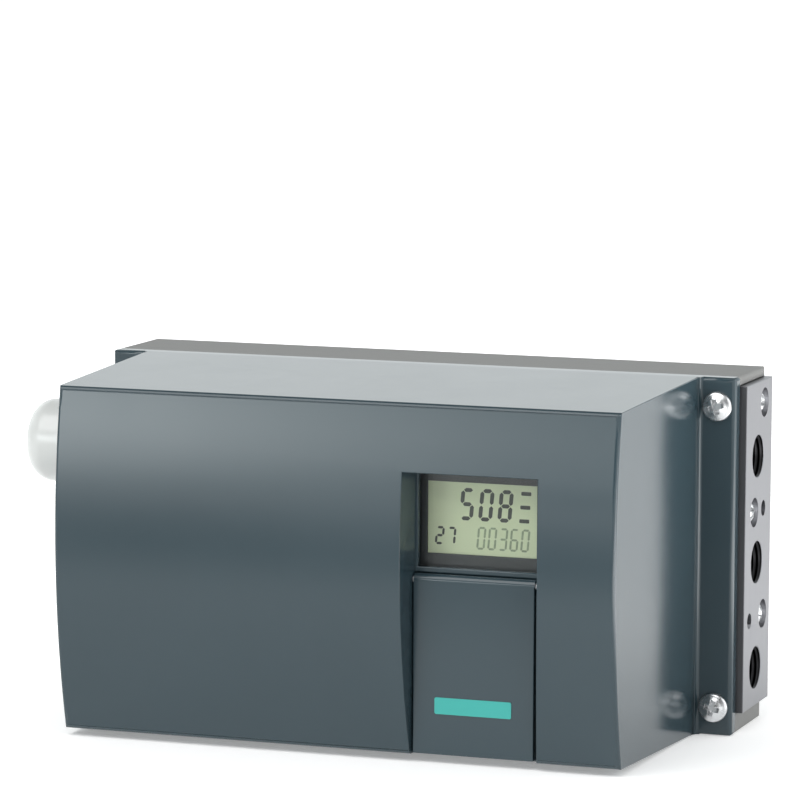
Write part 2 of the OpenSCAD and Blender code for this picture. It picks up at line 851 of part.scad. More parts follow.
module front_cover() {
    color(grey_cover)
        difference() {
            union() {
                difference() {
                    union() {
                        difference() {
                            cover_form(0, y_ear);
                            for (side = [-1, 1])
                                slab_x(-half_w, half_w)
                                    brow_rounding(side);
                        }
                        flange_form();
                        ear_fillets();
                    }
                    cover_form(cover_wall, y_split + over);
                }
                intersection() {
                    cover_form(cover_wall / 2, y_ear);
                    recess_backing();
                }
            }
            front_recess();
            recess_cuts();
            at_cover_screws()
                rod_y(0, 0, y_ear - over, y_split + over, screw_r + fit_gap);
        }
}

// Ring round the cavity that the gasket lies in
module gasket_outline(w) {
    mid_x = cavity_x + gasket_w / 2 + 0.8;
    mid_z = half_h - gasket_w / 2 - 0.7;
    difference() {
        square([2 * mid_x + w, 2 * mid_z + w], center = true);
        square([2 * mid_x - w, 2 * mid_z - w], center = true);
    }
}

module cover_gasket() {
    color(rubber_black)
        slab_y(y_split, y_split + gasket_t)
            gasket_outline(gasket_w - fit_gap);
}

module cover_screws() {
    color(steel)
        at_cover_screws()
            front_screw(0, y_ear, 0, screw_head_r, screw_head_h, screw_r, ear_t + cover_screw_grip);
}

// Window, flap and keys

module display_window() {
    lap = pane_lap - fit_gap / 2;
    color("#c8d4d8", 0.4)
        block([recess_l + window_margin - lap, recess_r - window_margin + lap], [y_pane, y_ledge_back],
              [window_z - lap, window_top + lap]);
}

module flap_hinge_pin() {
    color(steel)
        rod_x(hinge_y, hinge_z, recess_l - hinge_pin_bite, recess_r + hinge_pin_bite, flap_pin_r);
}

module key_flap() {
    z0 = -cover_z(y_flap, 0) + flap_gap;
    grip_r = 1.2;
    color(grey_cover)
        difference() {
            union() {
                rod_x(hinge_y, hinge_z, recess_l + flap_gap, recess_r - flap_gap, knuckle_r);
                block([recess_l + flap_gap, recess_r - flap_gap], [y_flap, y_flap_back], [z0, hinge_z]);
            }
            rod_x(hinge_y, hinge_z, recess_l, recess_r, flap_pin_r + run_gap);
            rod_x(y_flap_back + grip_r / 2, z0, recess_x - bay_w / 4, recess_x + bay_w / 4, grip_r);
        }
}

// Key with a rounded square cap and a guided stem
module one_key(place, tone) {
    x = recess_x + place * key_pitch;
    edge = key_w / 2;
    color(tone) {
        slab_y(y_key_top, y_key_under)
            round_rect([x - edge, x + edge], [key_z - edge, key_z + edge], key_w / 5);
        rod_y(x, key_z, y_key_under - key_cap_t / 2, y_stem_end, key_stem_r);
    }
}

module hand_key() {
    one_key(-1, "#8d9498");
}

module down_key() {
    one_key(0, "#8d9498");
}

module up_key() {
    one_key(1, "#8d9498");
}

module key_switches() {
    color(dark_plastic)
        for (i = [-1, 0, 1]) {
            x = recess_x + i * key_pitch;
            rod_y(x, key_z, y_switch, y_display, switch_w / 4);
            block([x - switch_w / 2, x + switch_w / 2], [y_switch + switch_h / 2, y_display],
                  [key_z - switch_w / 2, key_z + switch_w / 2]);
        }
}

// Display module and boards

// Box round the display's visible area, grown by a border, between two levels
module view_block(border, y0, y1) {
    block([view_x - view_w / 2 - border, view_x + view_w / 2 + border], [y0, y1],
          [view_z - view_h / 2 - border, view_z + view_h / 2 + border]);
}

module lcd_frame() {
    color(dark_plastic)
        difference() {
            view_block(lcd_wall, y_lcd, y_display);
            view_block(0, y_lcd - over, y_lcd + lcd_wall);
            view_block(lcd_wall / 2, y_lcd + lcd_lip, y_display - lcd_lip);
        }
}

module lcd_panel() {
    color("#adb89b")
        view_block(lcd_wall / 2 - fit_gap, y_lcd + lcd_lip, y_lcd + lcd_lip + lcd_t);
}

module display_board() {
    color(board_green)
        difference() {
            slab_y(y_display, y_display_back)
                round_rect([recess_l - 2, recess_r + 3], [bay_z0 - 1, recess_top + 3], 1.5);
            at_spacers()
                rod_y(0, 0, y_display - over, y_display_back + over, small_screw_r);
        }
}

// Places of the display board's spacers
module at_spacers() {
    for (x = spacer_xs, z = [bay_z0 + spacer_r + 0.5, recess_top - 1])
        translate([x, 0, z])
            children();
}

module display_spacers() {
    color(brass_tone)
        at_spacers()
            difference() {
                rod_y(0, 0, y_display_back, y_board_front, spacer_r);
                rod_y(0, 0, y_display_back - over, y_display_back + small_grip, small_screw_r - fit_gap);
            }
}

module main_board() {
    color(board_green)
        difference() {
            slab_y(y_board_front, y_board)
                round_rect([board_x0, board_x1], [-board_edge_z, board_edge_z], 2);
            rod_y(pot_x, 0, y_board_front - over, y_board + over, clutch_r + clutch_play);
            at_pillars()
                rod_y(0, 0, y_board_front - over, y_board + over, small_screw_r + fit_gap);
        }
}

module board_screws() {
    color(steel)
        at_pillars()
            front_screw(0, y_board_front, 0, small_head_r, small_head_h, small_screw_r, board_t + small_grip);
}

// Chip on the main board, by its centre and its half sizes
module one_chip(x, z, half_x, half_z) {
    block([x - half_x, x + half_x], [y_board_front - chip_t, y_board_front], [z - half_z, z + half_z]);
}

// Two rows of chips on the main board, between the clutch wheel and the board's right edge
module board_parts() {
    chip = board_edge_z / 6;
    row_z = board_edge_z * 0.58;
    color(dark_plastic) {
        one_chip(-chip / 2, row_z, chip, chip);
        one_chip(2 * chip, row_z, chip * 0.7, chip * 0.6);
        one_chip(-chip / 2, -row_z, chip, chip * 1.3);
        one_chip(2 * chip, 0, chip * 0.6, chip * 1.2);
    }
}

// Place of one terminal along Z
function terminal_z(i) = (i - (terminal_count - 1) / 2) * terminal_pitch;

module terminal_block() {
    x1 = terminal_x0 + terminal_w;
    y_top = y_board_front - terminal_h;
    step_h = terminal_h * 0.45;
    mouth = terminal_pitch * 0.27;
    color("#6f7b6f")
        difference() {
            slab_z(-terminal_l / 2, terminal_l / 2)
                polygon([
                    [terminal_x0, y_board_front], [terminal_x0, y_top + step_h],
                    [terminal_x0 + step_h / 2, y_top], [x1, y_top], [x1, y_board_front]
                ]);
            for (i = [0 : terminal_count - 1]) {
                rod_y(terminal_screw_x, terminal_z(i), y_top - over, y_top + terminal_screw_l,
                      terminal_screw_r + fit_gap / 2);
                block([terminal_x0 - over, terminal_x0 + terminal_w / 3],
                      [y_top + step_h + mouth, y_board_front - mouth],
                      [terminal_z(i) - mouth, terminal_z(i) + mouth]);
            }
        }
}

module terminal_screws() {
    slot_w = terminal_screw_r / 3;
    y_top = y_board_front - terminal_h;
    y_head = y_top + terminal_screw_l / 3;
    color(steel)
        for (i = [0 : terminal_count - 1])
            difference() {
                rod_y(terminal_screw_x, terminal_z(i), y_head, y_top + terminal_screw_l, terminal_screw_r);
                block([terminal_screw_x - 2 * terminal_screw_r, terminal_screw_x + 2 * terminal_screw_r],
                      [y_top, y_head + slot_w], [terminal_z(i) - slot_w / 2, terminal_z(i) + slot_w / 2]);
            }
}

// Air connection

// Outline in YZ of the block's body, grown by a gap
module block_outline(gap) {
    round_rect([-port_y - block_body_w / 2 - gap, -port_y + block_body_w / 2 + gap],
               [block_z0 - gap, block_z1 + gap], block_r + gap);
}

module connection_block() {
    color(metal)
        difference() {
            union() {
                block([plate_back_x, plate_x], [y_split, -plate_inset], [-plate_bottom, plate_top]);
                slab_x(cavity_x, plate_back_x + over)
                    block_outline(0);
            }
            for (z = port_zs) {
                rod_x(-port_y, z, plate_x - port_depth, plate_x + over, port_r);
                rod_x(-port_y, z, cavity_x - over, plate_x, duct_r);
            }
            for (place = plate_screw_yz) {
                rod_x(place[0], place[1], cavity_x - over, plate_x + over, screw_r + fit_gap);
                rod_x(place[0], place[1], plate_x - screw_head_h, plate_x + over, plate_head_r + fit_gap);
            }
            for (place = [restrictor_y1_yz, restrictor_y2_yz])
                rod_x(place[0], place[1], restrictor_x - 2, plate_x + over, restrictor_r + run_gap);
            at_cover_screws()
                rod_y(0, 0, y_split - over, y_split + cover_screw_grip + screw_end_gap,
                      screw_r + block_clear);
        }
}

module plate_screws() {
    color(steel)
        for (i = [0 : 2])
            translate([plate_x - screw_head_h, plate_screw_yz[i][0], plate_screw_yz[i][1]])
                rotate([0, 90, 0])
                    rotate([0, 0, 15 + 25 * i])
                        pan_screw(plate_head_r, screw_head_h, screw_r, i == 0 ? edge_screw_l : plate_screw_l);
}

module port_seals() {
    color(rubber_black)
        for (z = port_zs)
            translate([seal_x, -port_y, z])
                rotate([0, 90, 0])
                    rotate_extrude()
                        translate([seal_mid_r, 0])
                            circle(seal_ring_r);
}

// Needle screw with a socket in its outer end
module one_restrictor(place) {
    tip = restrictor_r;
    color(brass_tone)
        translate([restrictor_x, place[0], place[1]])
            rotate([0, 90, 0])
                difference() {
                    union() {
                        cylinder(h = tip, r1 = restrictor_r / 4, r2 = restrictor_r);
                        translate([0, 0, tip])
                            cylinder(h = restrictor_l - tip, r = restrictor_r);
                    }
                    translate([-restrictor_r * 2, -restrictor_r * 0.2, restrictor_l - 1.2])
                        cube([restrictor_r * 4, restrictor_r * 0.4, 2]);
                }
}

module restrictor_y1() {
    one_restrictor(restrictor_y1_yz);
}

module restrictor_y2() {
    one_restrictor(restrictor_y2_yz);
}

module pneumatic_block() {
    seal_room = seal_ring_r + fit_gap / 2;
    screw_end_x = plate_x - plate_screw_l - screw_head_h - over;
    valve_duct_l = 10;
    color("#4a5054")
        difference() {
            union() {
                block([valve_x0, cavity_x], [y_valve, y_inner], [valve_z0, valve_z1]);
                for (z = diaphragm_zs)
                    turned_front(valve_x0 + valve_w / 2, y_valve, z)
                        square([diaphragm_r, diaphragm_h]);
            }
            for (z = port_zs) {
                rod_x(-port_y, z, cavity_x - valve_duct_l, cavity_x + over, duct_r);
                difference() {
                    rod_x(-port_y, z, seal_x - seal_ring_r - seal_touch, cavity_x + over,
                          seal_mid_r + seal_room);
                    rod_x(-port_y, z, seal_x - valve_w / 2, cavity_x + 2 * over, seal_mid_r - seal_room);
                }
            }
            for (i = [1, 2])
                rod_x(plate_screw_yz[i][0], plate_screw_yz[i][1], screw_end_x, cavity_x + over,
                      screw_r + thread_gap);
            rod_y(silencer_x, silencer_z, -silencer_depth - over, y_inner + over,
                  silencer_stem_r + fit_gap / 2);
        }
}

module pilot_valve() {
    case_h = 10;
    inset = 4;
    pin_l = 3;
    pin_r = 0.5;
    pin_pitch = 4;
    y_case = y_diaphragm - case_h;
    color(dark_plastic) {
        slab_y(y_case, y_diaphragm)
            round_rect([valve_x0 + inset, cavity_x - inset],
                       [diaphragm_zs[1] - diaphragm_r / 2, diaphragm_zs[0] + diaphragm_r / 2], inset / 2);
        for (i = [-1.5 : 1.5])
            rod_y(valve_x0 + 2 * inset, i * pin_pitch, y_case - pin_l, y_case + over, pin_r);
    }
}

module exhaust_silencer() {
    color(brass_tone)
        difference() {
            union() {
                rod_y(silencer_x, silencer_z, -silencer_flange_t - fit_gap / 2, -fit_gap, silencer_r);
                rod_y(silencer_x, silencer_z, -silencer_depth, -silencer_flange_t, silencer_stem_r);
            }
            for (turn = [0 : 60 : 300])
                translate([silencer_x, 0, silencer_z])
                    rotate([0, turn, 0])
                        rod_y(silencer_r * 0.55, 0, -silencer_flange_t / 2, over, silencer_r / 10);
            rod_y(silencer_x, silencer_z, -silencer_flange_t * 0.8, over, silencer_r / 4);
        }
}

module vent_filters() {
    color(dark_plastic)
        at_vents()
            difference() {
                union() {
                    rod_y(0, 0, -vent_seat_t, -fit_gap, vent_seat_r - fit_gap);
                    rod_y(0, 0, y_inner, -vent_seat_t + fit_gap, vent_r - fit_gap / 2);
                }
                for (turn = [0 : 90 : 270])
                    rotate([0, turn, 0])
                        rod_y(vent_r / 2, 0, -vent_seat_t / 2, over, vent_r / 5);
            }
}

// Cable entries

module gland_body() {
    color(light_plastic)
        difference() {
            union() {
                translate([hex_x, -entry_y, entry_z])
                    rotate([0, 90, 0])
                        cylinder(h = gland_hex_t, r = gland_af / sqrt(3), $fn = 6);
                rod_x(-entry_y, entry_z, hex_x, entry_face_x + gland_stem_l, entry_r - thread_gap);
                rod_x(-entry_y, entry_z, hex_x - collar_l, hex_x + over, collar_r);
            }
            rod_x(-entry_y, entry_z, hex_x - collar_l - over, entry_face_x + gland_stem_l + over,
                  gland_bore_r);
        }
}

// Half section of the dome nut's outside, from its rim at 0 to its end
module dome_section(r, l, edge_r) {
    square([r, l - edge_r]);
    square([r - edge_r, l]);
    translate([r - edge_r, l - edge_r])
        intersection() {
            circle(edge_r);
            square(edge_r);
        }
}

module gland_nut() {
    nut_l = hex_x - fit_gap - gland_end_x;
    flutes = 18;
    flute_l = 9;
    flute_r = 1.1;
    flute_out = 0.5;
    color("#eceeec")
        difference() {
            turned_left(hex_x - fit_gap, -entry_y, entry_z)
                dome_section(dome_r, nut_l, dome_edge_r);
            turned_left(hex_x, -entry_y, entry_z)
                dome_section(dome_r - dome_wall, nut_l - dome_wall, dome_edge_r - dome_wall);
            rod_x(-entry_y, entry_z, gland_end_x - over, hex_x, dome_hole_r);
            for (i = [0 : flutes - 1])
                translate([hex_x - flute_l, -entry_y, entry_z])
                    rotate([i * 360 / flutes, 0, 0])
                        translate([0, 0, dome_r + flute_out])
                            rotate([0, 90, 0])
                                cylinder(h = flute_l + over, r = flute_r);
        }
}

module gland_insert() {
    insert_x = gland_end_x + dome_wall + 3 * fit_gap;
    color(rubber_black)
        difference() {
            translate([insert_x, -entry_y, entry_z])
                rotate([0, 90, 0])
                    cylinder(h = hex_x - collar_l - insert_x, r1 = dome_hole_r + 1, r2 = collar_r - 1.2);
            rod_x(-entry_y, entry_z, gland_end_x, hex_x, dome_hole_r);
        }
}

module gland_plug() {
    crown = 0.6;
    crown_r = (dome_hole_r * dome_hole_r + crown * crown) / (2 * crown);
    plug_l = gland_reach - gland_hex_t - entry_seal_t - collar_l + 4;
    color("#f2f3f1")
        turned_left(gland_end_x + plug_l, -entry_y, entry_z)
            intersection() {
                square([dome_hole_r - thread_gap, plug_l]);
                translate([0, plug_l - crown_r])
                    circle(crown_r);
            }
}

module blanking_plug() {
    flange_t = 3.5;
    color(dark_plastic)
        difference() {
            union() {
                rod_x(-entry_y, -entry_z, entry_face_x - entry_seal_t, entry_face_x + gland_stem_l,
                      entry_r - thread_gap);
                turned_left(entry_face_x - entry_seal_t, -entry_y, -entry_z)
                    dome_section(entry_r + 2, flange_t, 1.2);
            }
            translate([entry_face_x - entry_seal_t - flange_t - over, -entry_y, -entry_z])
                rotate([0, 90, 0])
                    cylinder(h = flange_t + over, r = 5, $fn = 6);
            rod_x(-entry_y, -entry_z, entry_face_x + 4, entry_face_x + gland_stem_l + over, entry_r - 2.5);
        }
}

module entry_seals() {
    color(rubber_black)
        for (z = [-entry_z, entry_z])
            difference() {
                rod_x(-entry_y, z, entry_face_x - entry_seal_t, entry_face_x, entry_r + 1.6);
                rod_x(-entry_y, z, entry_face_x - 2 * entry_seal_t, entry_face_x + over, entry_r);
            }
}

// Feedback drive

module shaft_bush() {
    color(brass_tone)
        difference() {
            rod_y(0, 0, y_bush_end, -seal_l, bush_r - thread_gap / 2);
            rod_y(0, 0, y_bush_end - over, over, bearing_r + run_gap);
        }
}

module shaft_seal() {
    color(rubber_black)
        difference() {
            rod_y(0, 0, -seal_l, -0.4, seal_r - thread_gap);
            rod_y(0, 0, -seal_l - over, over, bearing_r + run_gap);
        }
}

module feedback_shaft() {
    color(steel)
        difference() {
            union() {
                rod_y(0, 0, y_gear, 0, bearing_r);
                rod_y(0, 0, -over, shaft_reach - shaft_chamfer, shaft_r);
                translate([0, shaft_reach - shaft_chamfer, 0])
                    rotate([-90, 0, 0])
                        cylinder(h = shaft_chamfer, r1 = shaft_r, r2 = shaft_r - shaft_chamfer);
                rod_y(0, 0, y_shaft_end, y_gear + over, journal_r);
            }
            block([-shaft_r, shaft_r], [shaft_reach - flat_l, shaft_reach + over],
                  [shaft_r - shaft_flat, shaft_r + over]);
            difference() {
                rod_y(0, 0, y_clip - run_gap, y_clip + clip_t + run_gap, bearing_r);
                rod_y(0, 0, y_clip - over, y_bridge + over, journal_r - clip_bite);
            }
        }
}

// Spread of an involute in degrees at the given pressure angle
function involute(angle) = tan(angle) * 180 / PI - angle;

// Half a tooth's angle at radius r on a gear of n teeth
function half_tooth(r, n) =
    let (pitch_r = gear_module * n / 2)
    let (base_r = pitch_r * cos(20))
    90 / n - backlash / 2 / pitch_r * 90 / PI + involute(20) - involute(acos(min(1, base_r / r)));

// Points of one tooth as [radius, angle], up one flank and down the other
function tooth(n) =
    let (pitch_r = gear_module * n / 2)
    let (rise = [pitch_r - 1.25 * gear_module, pitch_r - 0.4 * gear_module, pitch_r, pitch_r + gear_module])
    concat(
        [for (i = [0 : 3]) [rise[i], -half_tooth(rise[i], n)]],
        [for (i = [3 : -1 : 0]) [rise[i], half_tooth(rise[i], n)]]
    );

// Outline of a spur gear with one tooth centred on the +X side, turned by a phase
module gear_outline(n, phase) {
    polygon([
        for (i = [0 : n - 1], point = tooth(n))
            let (angle = phase + i * 360 / n + point[1])
            point[0] * [cos(angle), sin(angle)]
    ]);
}

module drive_gear() {
    hub_r = bearing_r + 3;
    web_r = drive_tip_r - 4;
    color("#e3ddc9")
        difference() {
            union() {
                slab_y(y_gear, y_gear_back)
                    gear_outline(drive_teeth, 180 - 360 / drive_teeth * floor(drive_teeth / 2));
                rod_y(0, 0, y_gear, y_bush_end - fit_gap, hub_r);
            }
            rod_y(0, 0, y_gear - over, over, bearing_r + run_gap / 2);
            for (turn = [30 : 60 : 330])
                rotate([0, turn, 0])
                    rod_y((hub_r + web_r) / 2, 0, y_gear - over, y_gear_back + over, (web_r - hub_r) / 2 - 2);
        }
}

module shaft_clip() {
    color(steel)
        difference() {
            rod_y(0, 0, y_clip, y_clip + clip_t, clip_r);
            rod_y(0, 0, y_clip - over, y_bridge + over, journal_r - clip_bite + run_gap / 2);
            block([-clip_r / 4, clip_r / 4], [y_clip - over, y_bridge + over], [0, clip_r + over]);
        }
}

module bearing_bridge() {
    color(metal)
        difference() {
            slab_y(y_bridge, y_bridge_back)
                round_rect([bridge_x0 - bridge_post_r, bridge_x1 + bridge_post_r],
                           [-bridge_w / 2, bridge_w / 2], bridge_post_r);
            rod_y(0, 0, y_bridge - over, y_bridge_back + over, journal_r + run_gap);
            rod_y(pot_x, 0, y_bridge - over, y_bridge_back + over, spindle_r + run_gap);
            for (x = [bridge_x0, bridge_x1])
                rod_y(x, 0, y_bridge - over, y_bridge_back + over, small_screw_r + fit_gap);
        }
}

module bridge_screws() {
    color(steel)
        for (x = [bridge_x0, bridge_x1])
            front_screw(x, y_bridge, 0, small_head_r, small_head_h, small_screw_r, bridge_t + small_grip);
}

module potentiometer() {
    color("#3b4a66")
        difference() {
            union() {
                rod_y(pot_x, 0, y_pot, y_inner, pot_r);
                rod_y(pot_x, 0, y_pot - 2, y_pot + over, spindle_r + 2);
            }
            rod_y(pot_x, 0, y_pot - 2 - over, y_pot + 5, spindle_r + run_gap);
        }
}

module pot_pinion() {
    color("#e3ddc9")
        translate([pot_x, 0, 0]) {
            rod_y(0, 0, y_clutch, y_pot + 4.5, spindle_r);
            slab_y(y_gear, y_gear_back)
                gear_outline(pinion_teeth, 180 / pinion_teeth);
        }
}

module clutch_wheel() {
    notches = 24;
    mark_t = 0.8;
    y_back = y_clutch + clutch_t;
    color("#e0b93a")
        translate([pot_x, 0, 0])
            difference() {
                rod_y(0, 0, y_clutch, y_back, clutch_r);
                rod_y(0, 0, y_clutch - over, y_back + over, spindle_r + run_gap / 2);
                for (i = [0 : notches - 1])
                    rotate([0, i * 360 / notches, 0])
                        rod_y(clutch_r + 0.3, 0, y_clutch - over, y_back + over, 0.8);
                block([-clutch_r / 2, clutch_r / 2], [y_clutch - over, y_clutch + mark_t],
                      [spindle_r + 2, spindle_r + 3.5]);
            }
}

base_housing();
front_cover();
cover_gasket();
cover_screws();
display_window();
flap_hinge_pin();
key_flap();
hand_key();
down_key();
up_key();
key_switches();
lcd_frame();
lcd_panel();
display_board();
display_spacers();
main_board();
board_screws();
board_parts();
terminal_block();
terminal_screws();
connection_block();
plate_screws();
port_seals();
restrictor_y1();
restrictor_y2();
pneumatic_block();
pilot_valve();
exhaust_silencer();
vent_filters();
gland_body();
gland_nut();
gland_insert();
gland_plug();
blanking_plug();
entry_seals();
shaft_bush();
shaft_seal();
feedback_shaft();
drive_gear();
shaft_clip();
bearing_bridge();
bridge_screws();
potentiometer();
pot_pinion();
clutch_wheel();
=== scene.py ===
"""Finish of an electro-pneumatic valve positioner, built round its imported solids.

Lengths are in metres, in the frame of the solids: +X to the air ports, +Y out of the rear face, +Z up.
"""

import json
import math

import bmesh
import bpy
from mathutils import Matrix, Vector
from mathutils.geometry import delaunay_2d_cdt


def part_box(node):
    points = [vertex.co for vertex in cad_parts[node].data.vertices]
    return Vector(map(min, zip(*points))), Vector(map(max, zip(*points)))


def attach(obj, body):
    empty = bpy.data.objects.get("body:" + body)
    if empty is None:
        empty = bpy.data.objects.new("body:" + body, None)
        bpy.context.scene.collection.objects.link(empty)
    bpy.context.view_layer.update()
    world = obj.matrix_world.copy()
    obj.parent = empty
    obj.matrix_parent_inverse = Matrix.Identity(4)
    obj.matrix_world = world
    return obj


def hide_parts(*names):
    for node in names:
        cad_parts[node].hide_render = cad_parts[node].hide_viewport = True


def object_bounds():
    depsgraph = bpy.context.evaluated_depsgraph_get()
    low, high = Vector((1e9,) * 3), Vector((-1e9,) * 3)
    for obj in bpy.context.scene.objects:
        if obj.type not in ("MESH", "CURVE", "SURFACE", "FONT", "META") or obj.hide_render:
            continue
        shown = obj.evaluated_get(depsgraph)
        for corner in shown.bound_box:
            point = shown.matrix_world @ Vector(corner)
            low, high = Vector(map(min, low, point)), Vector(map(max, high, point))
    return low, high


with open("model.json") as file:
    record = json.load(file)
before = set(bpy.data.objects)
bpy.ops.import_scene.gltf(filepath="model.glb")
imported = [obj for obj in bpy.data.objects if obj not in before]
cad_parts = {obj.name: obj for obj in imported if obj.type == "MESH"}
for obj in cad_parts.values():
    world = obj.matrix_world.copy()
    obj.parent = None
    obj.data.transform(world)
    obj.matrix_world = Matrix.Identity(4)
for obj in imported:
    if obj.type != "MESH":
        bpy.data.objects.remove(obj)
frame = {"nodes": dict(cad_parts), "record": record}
CAD_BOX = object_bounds()

bl_info = {
    "name": "Valve positioner finish",
    "version": (1, 0, 0),
    "blender": (4, 5, 0),
    "location": "3D View > Sidebar > Positioner",
    "description": "Finishes, screws, display and studio of a valve positioner",
    "category": "Object",
}

MM = 0.001

# What all settings of a colour or a length share
COLOUR = {"subtype": "COLOR", "size": 3, "min": 0, "max": 1}
LENGTH = {"subtype": "DISTANCE", "unit": "LENGTH"}

# Corners of a solid closer than this are one point
MERGE = 0.0005 * MM

# Angles from which an edge counts as sharp: on softened solids, and on screw heads and the plate
SHARP = math.radians(38)
CREASE = math.radians(40)

# Screws of the cover and the plate
HEAD_HEIGHT = 2.85 * MM
HEAD_SIDES = 48
SHANK_RADIUS = 2 * MM
SHANK_PITCH = 0.7 * MM

# Pitch of the thread in the air ports
PORT_PITCH = 1.337 * MM

# How deep a printed mark sits in what carries it
SUNK = 0.05 * MM

# Display: wall of its frame, and its rows in mm from the lower left corner of the visible area
FRAME_WALL = 4.5 * MM
SLANT = 0.09
UPPER_ROW = {"corner": (8.4, 9.0), "digit": (3.8, 8.5), "stroke": 1.05, "gap": 1.45}
LEFT_ROW = {"corner": (1.8, 2.3), "digit": (2.4, 4.8), "stroke": 0.62, "gap": 0.8}
RIGHT_ROW = {"corner": (13.2, 1.5), "digit": (2.3, 6.0), "stroke": 0.55, "gap": 0.7}
BARS = {"count": 3, "first": (26.3, 9.6), "step": (0.25, 3.6), "size": (2.7, 1.0), "radius": 0.2}

# Light table under the paper: where each zone sets in, in metres, and its share of the glow
NEAR, APPROACH, BEHIND = (-0.42, -0.24), (-2.2, -0.1), (-0.1, 0.15)
RIGHT, PAST_RIGHT = (0.16, 0.3), (0.1, 0.18)
GLOW = {"far": 0.32, "approach": 0.035, "front": 0.045, "behind": 0.115, "right": 0.75}

# Soft lights: azimuth and elevation in degrees, distance, width and height in metres, and power in watts
SOFTBOXES = {
    "Right front": (70, 14, 1.7, (1.8, 1.6), 9),
    "Right rear": (118, 36, 1.7, (2.0, 1.6), 8.5),
    "Front high": (-20, 50, 1.8, (2.0, 1.4), 30),
}

# Rounding between the cover's front and its flanks
ROUNDING = 1.2 * MM
ROUNDING_END = 45 * MM
FRONT_BULGE = -97 * MM
FRONT_EDGE = -92 * MM
STRIP_STRETCH = 20

# Broad roundings, as multiples of the others
WIDE = 6
EAR_FRONT = -31.5 * MM
EAR_REACH = 89 * MM


# Shader maths


class Signal:
    """A node's output that takes part in arithmetic: each operation adds one Math node."""

    def __init__(self, finish, socket):
        self.finish = finish
        self.socket = socket

    def _math(self, operation, *values):
        return self.finish.node("ShaderNodeMath", {"operation": operation}, dict(enumerate(values)))

    def __add__(self, other):
        return self._math("ADD", self, other)

    def __radd__(self, other):
        return self._math("ADD", other, self)

    def __sub__(self, other):
        return self._math("SUBTRACT", self, other)

    def __rsub__(self, other):
        return self._math("SUBTRACT", other, self)

    def __mul__(self, other):
        return self._math("MULTIPLY", self, other)

    def __rmul__(self, other):
        return self._math("MULTIPLY", other, self)

    def __truediv__(self, other):
        return self._math("DIVIDE", self, other)

    def __rtruediv__(self, other):
        return self._math("DIVIDE", other, self)

    def __lt__(self, other):
        return self._math("LESS_THAN", self, other)

    def __gt__(self, other):
        return self._math("GREATER_THAN", self, other)

    def __pow__(self, other):
        return self._math("POWER", self, other)

    def __abs__(self):
        return self._math("ABSOLUTE", self)

    def fraction(self):
        """The part after the decimal point."""
        return self._math("FRACT", self)

    def root(self):
        """The square root."""
        return self._math("SQRT", self)

    def turn_from(self, other):
        """The angle of (other, self) in turns."""
        return self._math("ARCTAN2", self, other) / math.tau

    def between(self, low, high):
        """0 below low, 1 above high and a smooth step between them."""
        settings = {"interpolation_type": "SMOOTHSTEP"}
        return self.finish.node("ShaderNodeMapRange", settings, {0: self, 1: low, 2: high, 3: 0.0, 4: 1.0})


class Graph:
    """A shader node tree under construction."""

    def __init__(self, holder, output):
        holder.use_nodes = True
        self.tree = holder.node_tree
        self.tree.nodes.clear()
        self.output = self.tree.nodes.new(output)

    def node(self, kind, settings=None, sockets=None, output=0):
        """Adds a node, sets it up, feeds its sockets and gives back one of its outputs."""
        node = self.tree.nodes.new(kind)
        for key, value in (settings or {}).items():
            setattr(node, key, value)
        for key, value in (sockets or {}).items():
            self.feed(node.inputs[key], value)
        return Signal(self, node.outputs[output])

    def feed(self, socket, value):
        """Links a signal to a socket, or sets the socket's own value."""
        if isinstance(value, Signal):
            self.tree.links.new(value.socket, socket)
        elif socket.type == "RGBA" and len(value) == 3:
            socket.default_value = (*value, 1.0)
        else:
            socket.default_value = value

    def place(self):
        """Coordinates of the shaded point or, in a world, of the direction."""
        return self.node("ShaderNodeTexCoord", output=self.COORDINATES)

    def axes(self):
        """The coordinates as three values."""
        split = self.node("ShaderNodeSeparateXYZ", sockets={0: self.place()})
        node = split.socket.node
        return [Signal(self, socket) for socket in node.outputs]

    def close(self, shader):
        """Links the shader to the output."""
        self.tree.links.new(shader.socket, self.output.inputs["Surface"])


class Surroundings(Graph):
    """A world under construction."""

    COORDINATES = "Generated"

    def __init__(self, name):
        self.world = bpy.data.worlds.new(name)
        super().__init__(self.world, "ShaderNodeOutputWorld")


class Finish(Graph):
    """A material under construction, in object coordinates, which are the frame's metres."""

    COORDINATES = "Object"

    def __init__(self, name):
        self.material = bpy.data.materials.new(name)
        super().__init__(self.material, "ShaderNodeOutputMaterial")

    def stretched(self, scale):
        """Object coordinates with each axis scaled by its own factor."""
        return self.node("ShaderNodeVectorMath", {"operation": "MULTIPLY"}, {0: self.place(), 1: scale})

    def noise(self, grain, detail=2.0, where=None):
        """Soft noise from 0 to 1 whose grains have the given length."""
        sockets = {"Vector": where or self.place(), "Scale": 1.0 / grain, "Detail": detail}
        return self.node("ShaderNodeTexNoise", None, sockets)

    def cells(self, grain):
        """Distance to the nearest of scattered points, about 0 to 1."""
        return self.node("ShaderNodeTexVoronoi", None, {"Vector": self.place(), "Scale": 1.0 / grain})

    def mix(self, factor, first, second):
        """Colour between two others."""
        return self.node("ShaderNodeMix", {"data_type": "RGBA"}, {0: factor, 6: first, 7: second}, output=2)

    def bump(self, height, depth):
        """Normal that follows a height from 0 to 1, scaled to a depth in metres."""
        return self.node("ShaderNodeBump", None, {"Height": height, "Distance": depth, "Strength": 1.0})

    def principled(self, **sockets):
        """The main shader, fed by socket names written with underscores."""
        feeds = {key.replace("_", " ").title().replace("Ior", "IOR"): value for key, value in sockets.items()}
        return self.node("ShaderNodeBsdfPrincipled", None, feeds)

    def done(self, shader):
        """Closes the material with its shader."""
        self.close(shader)
        return self.material


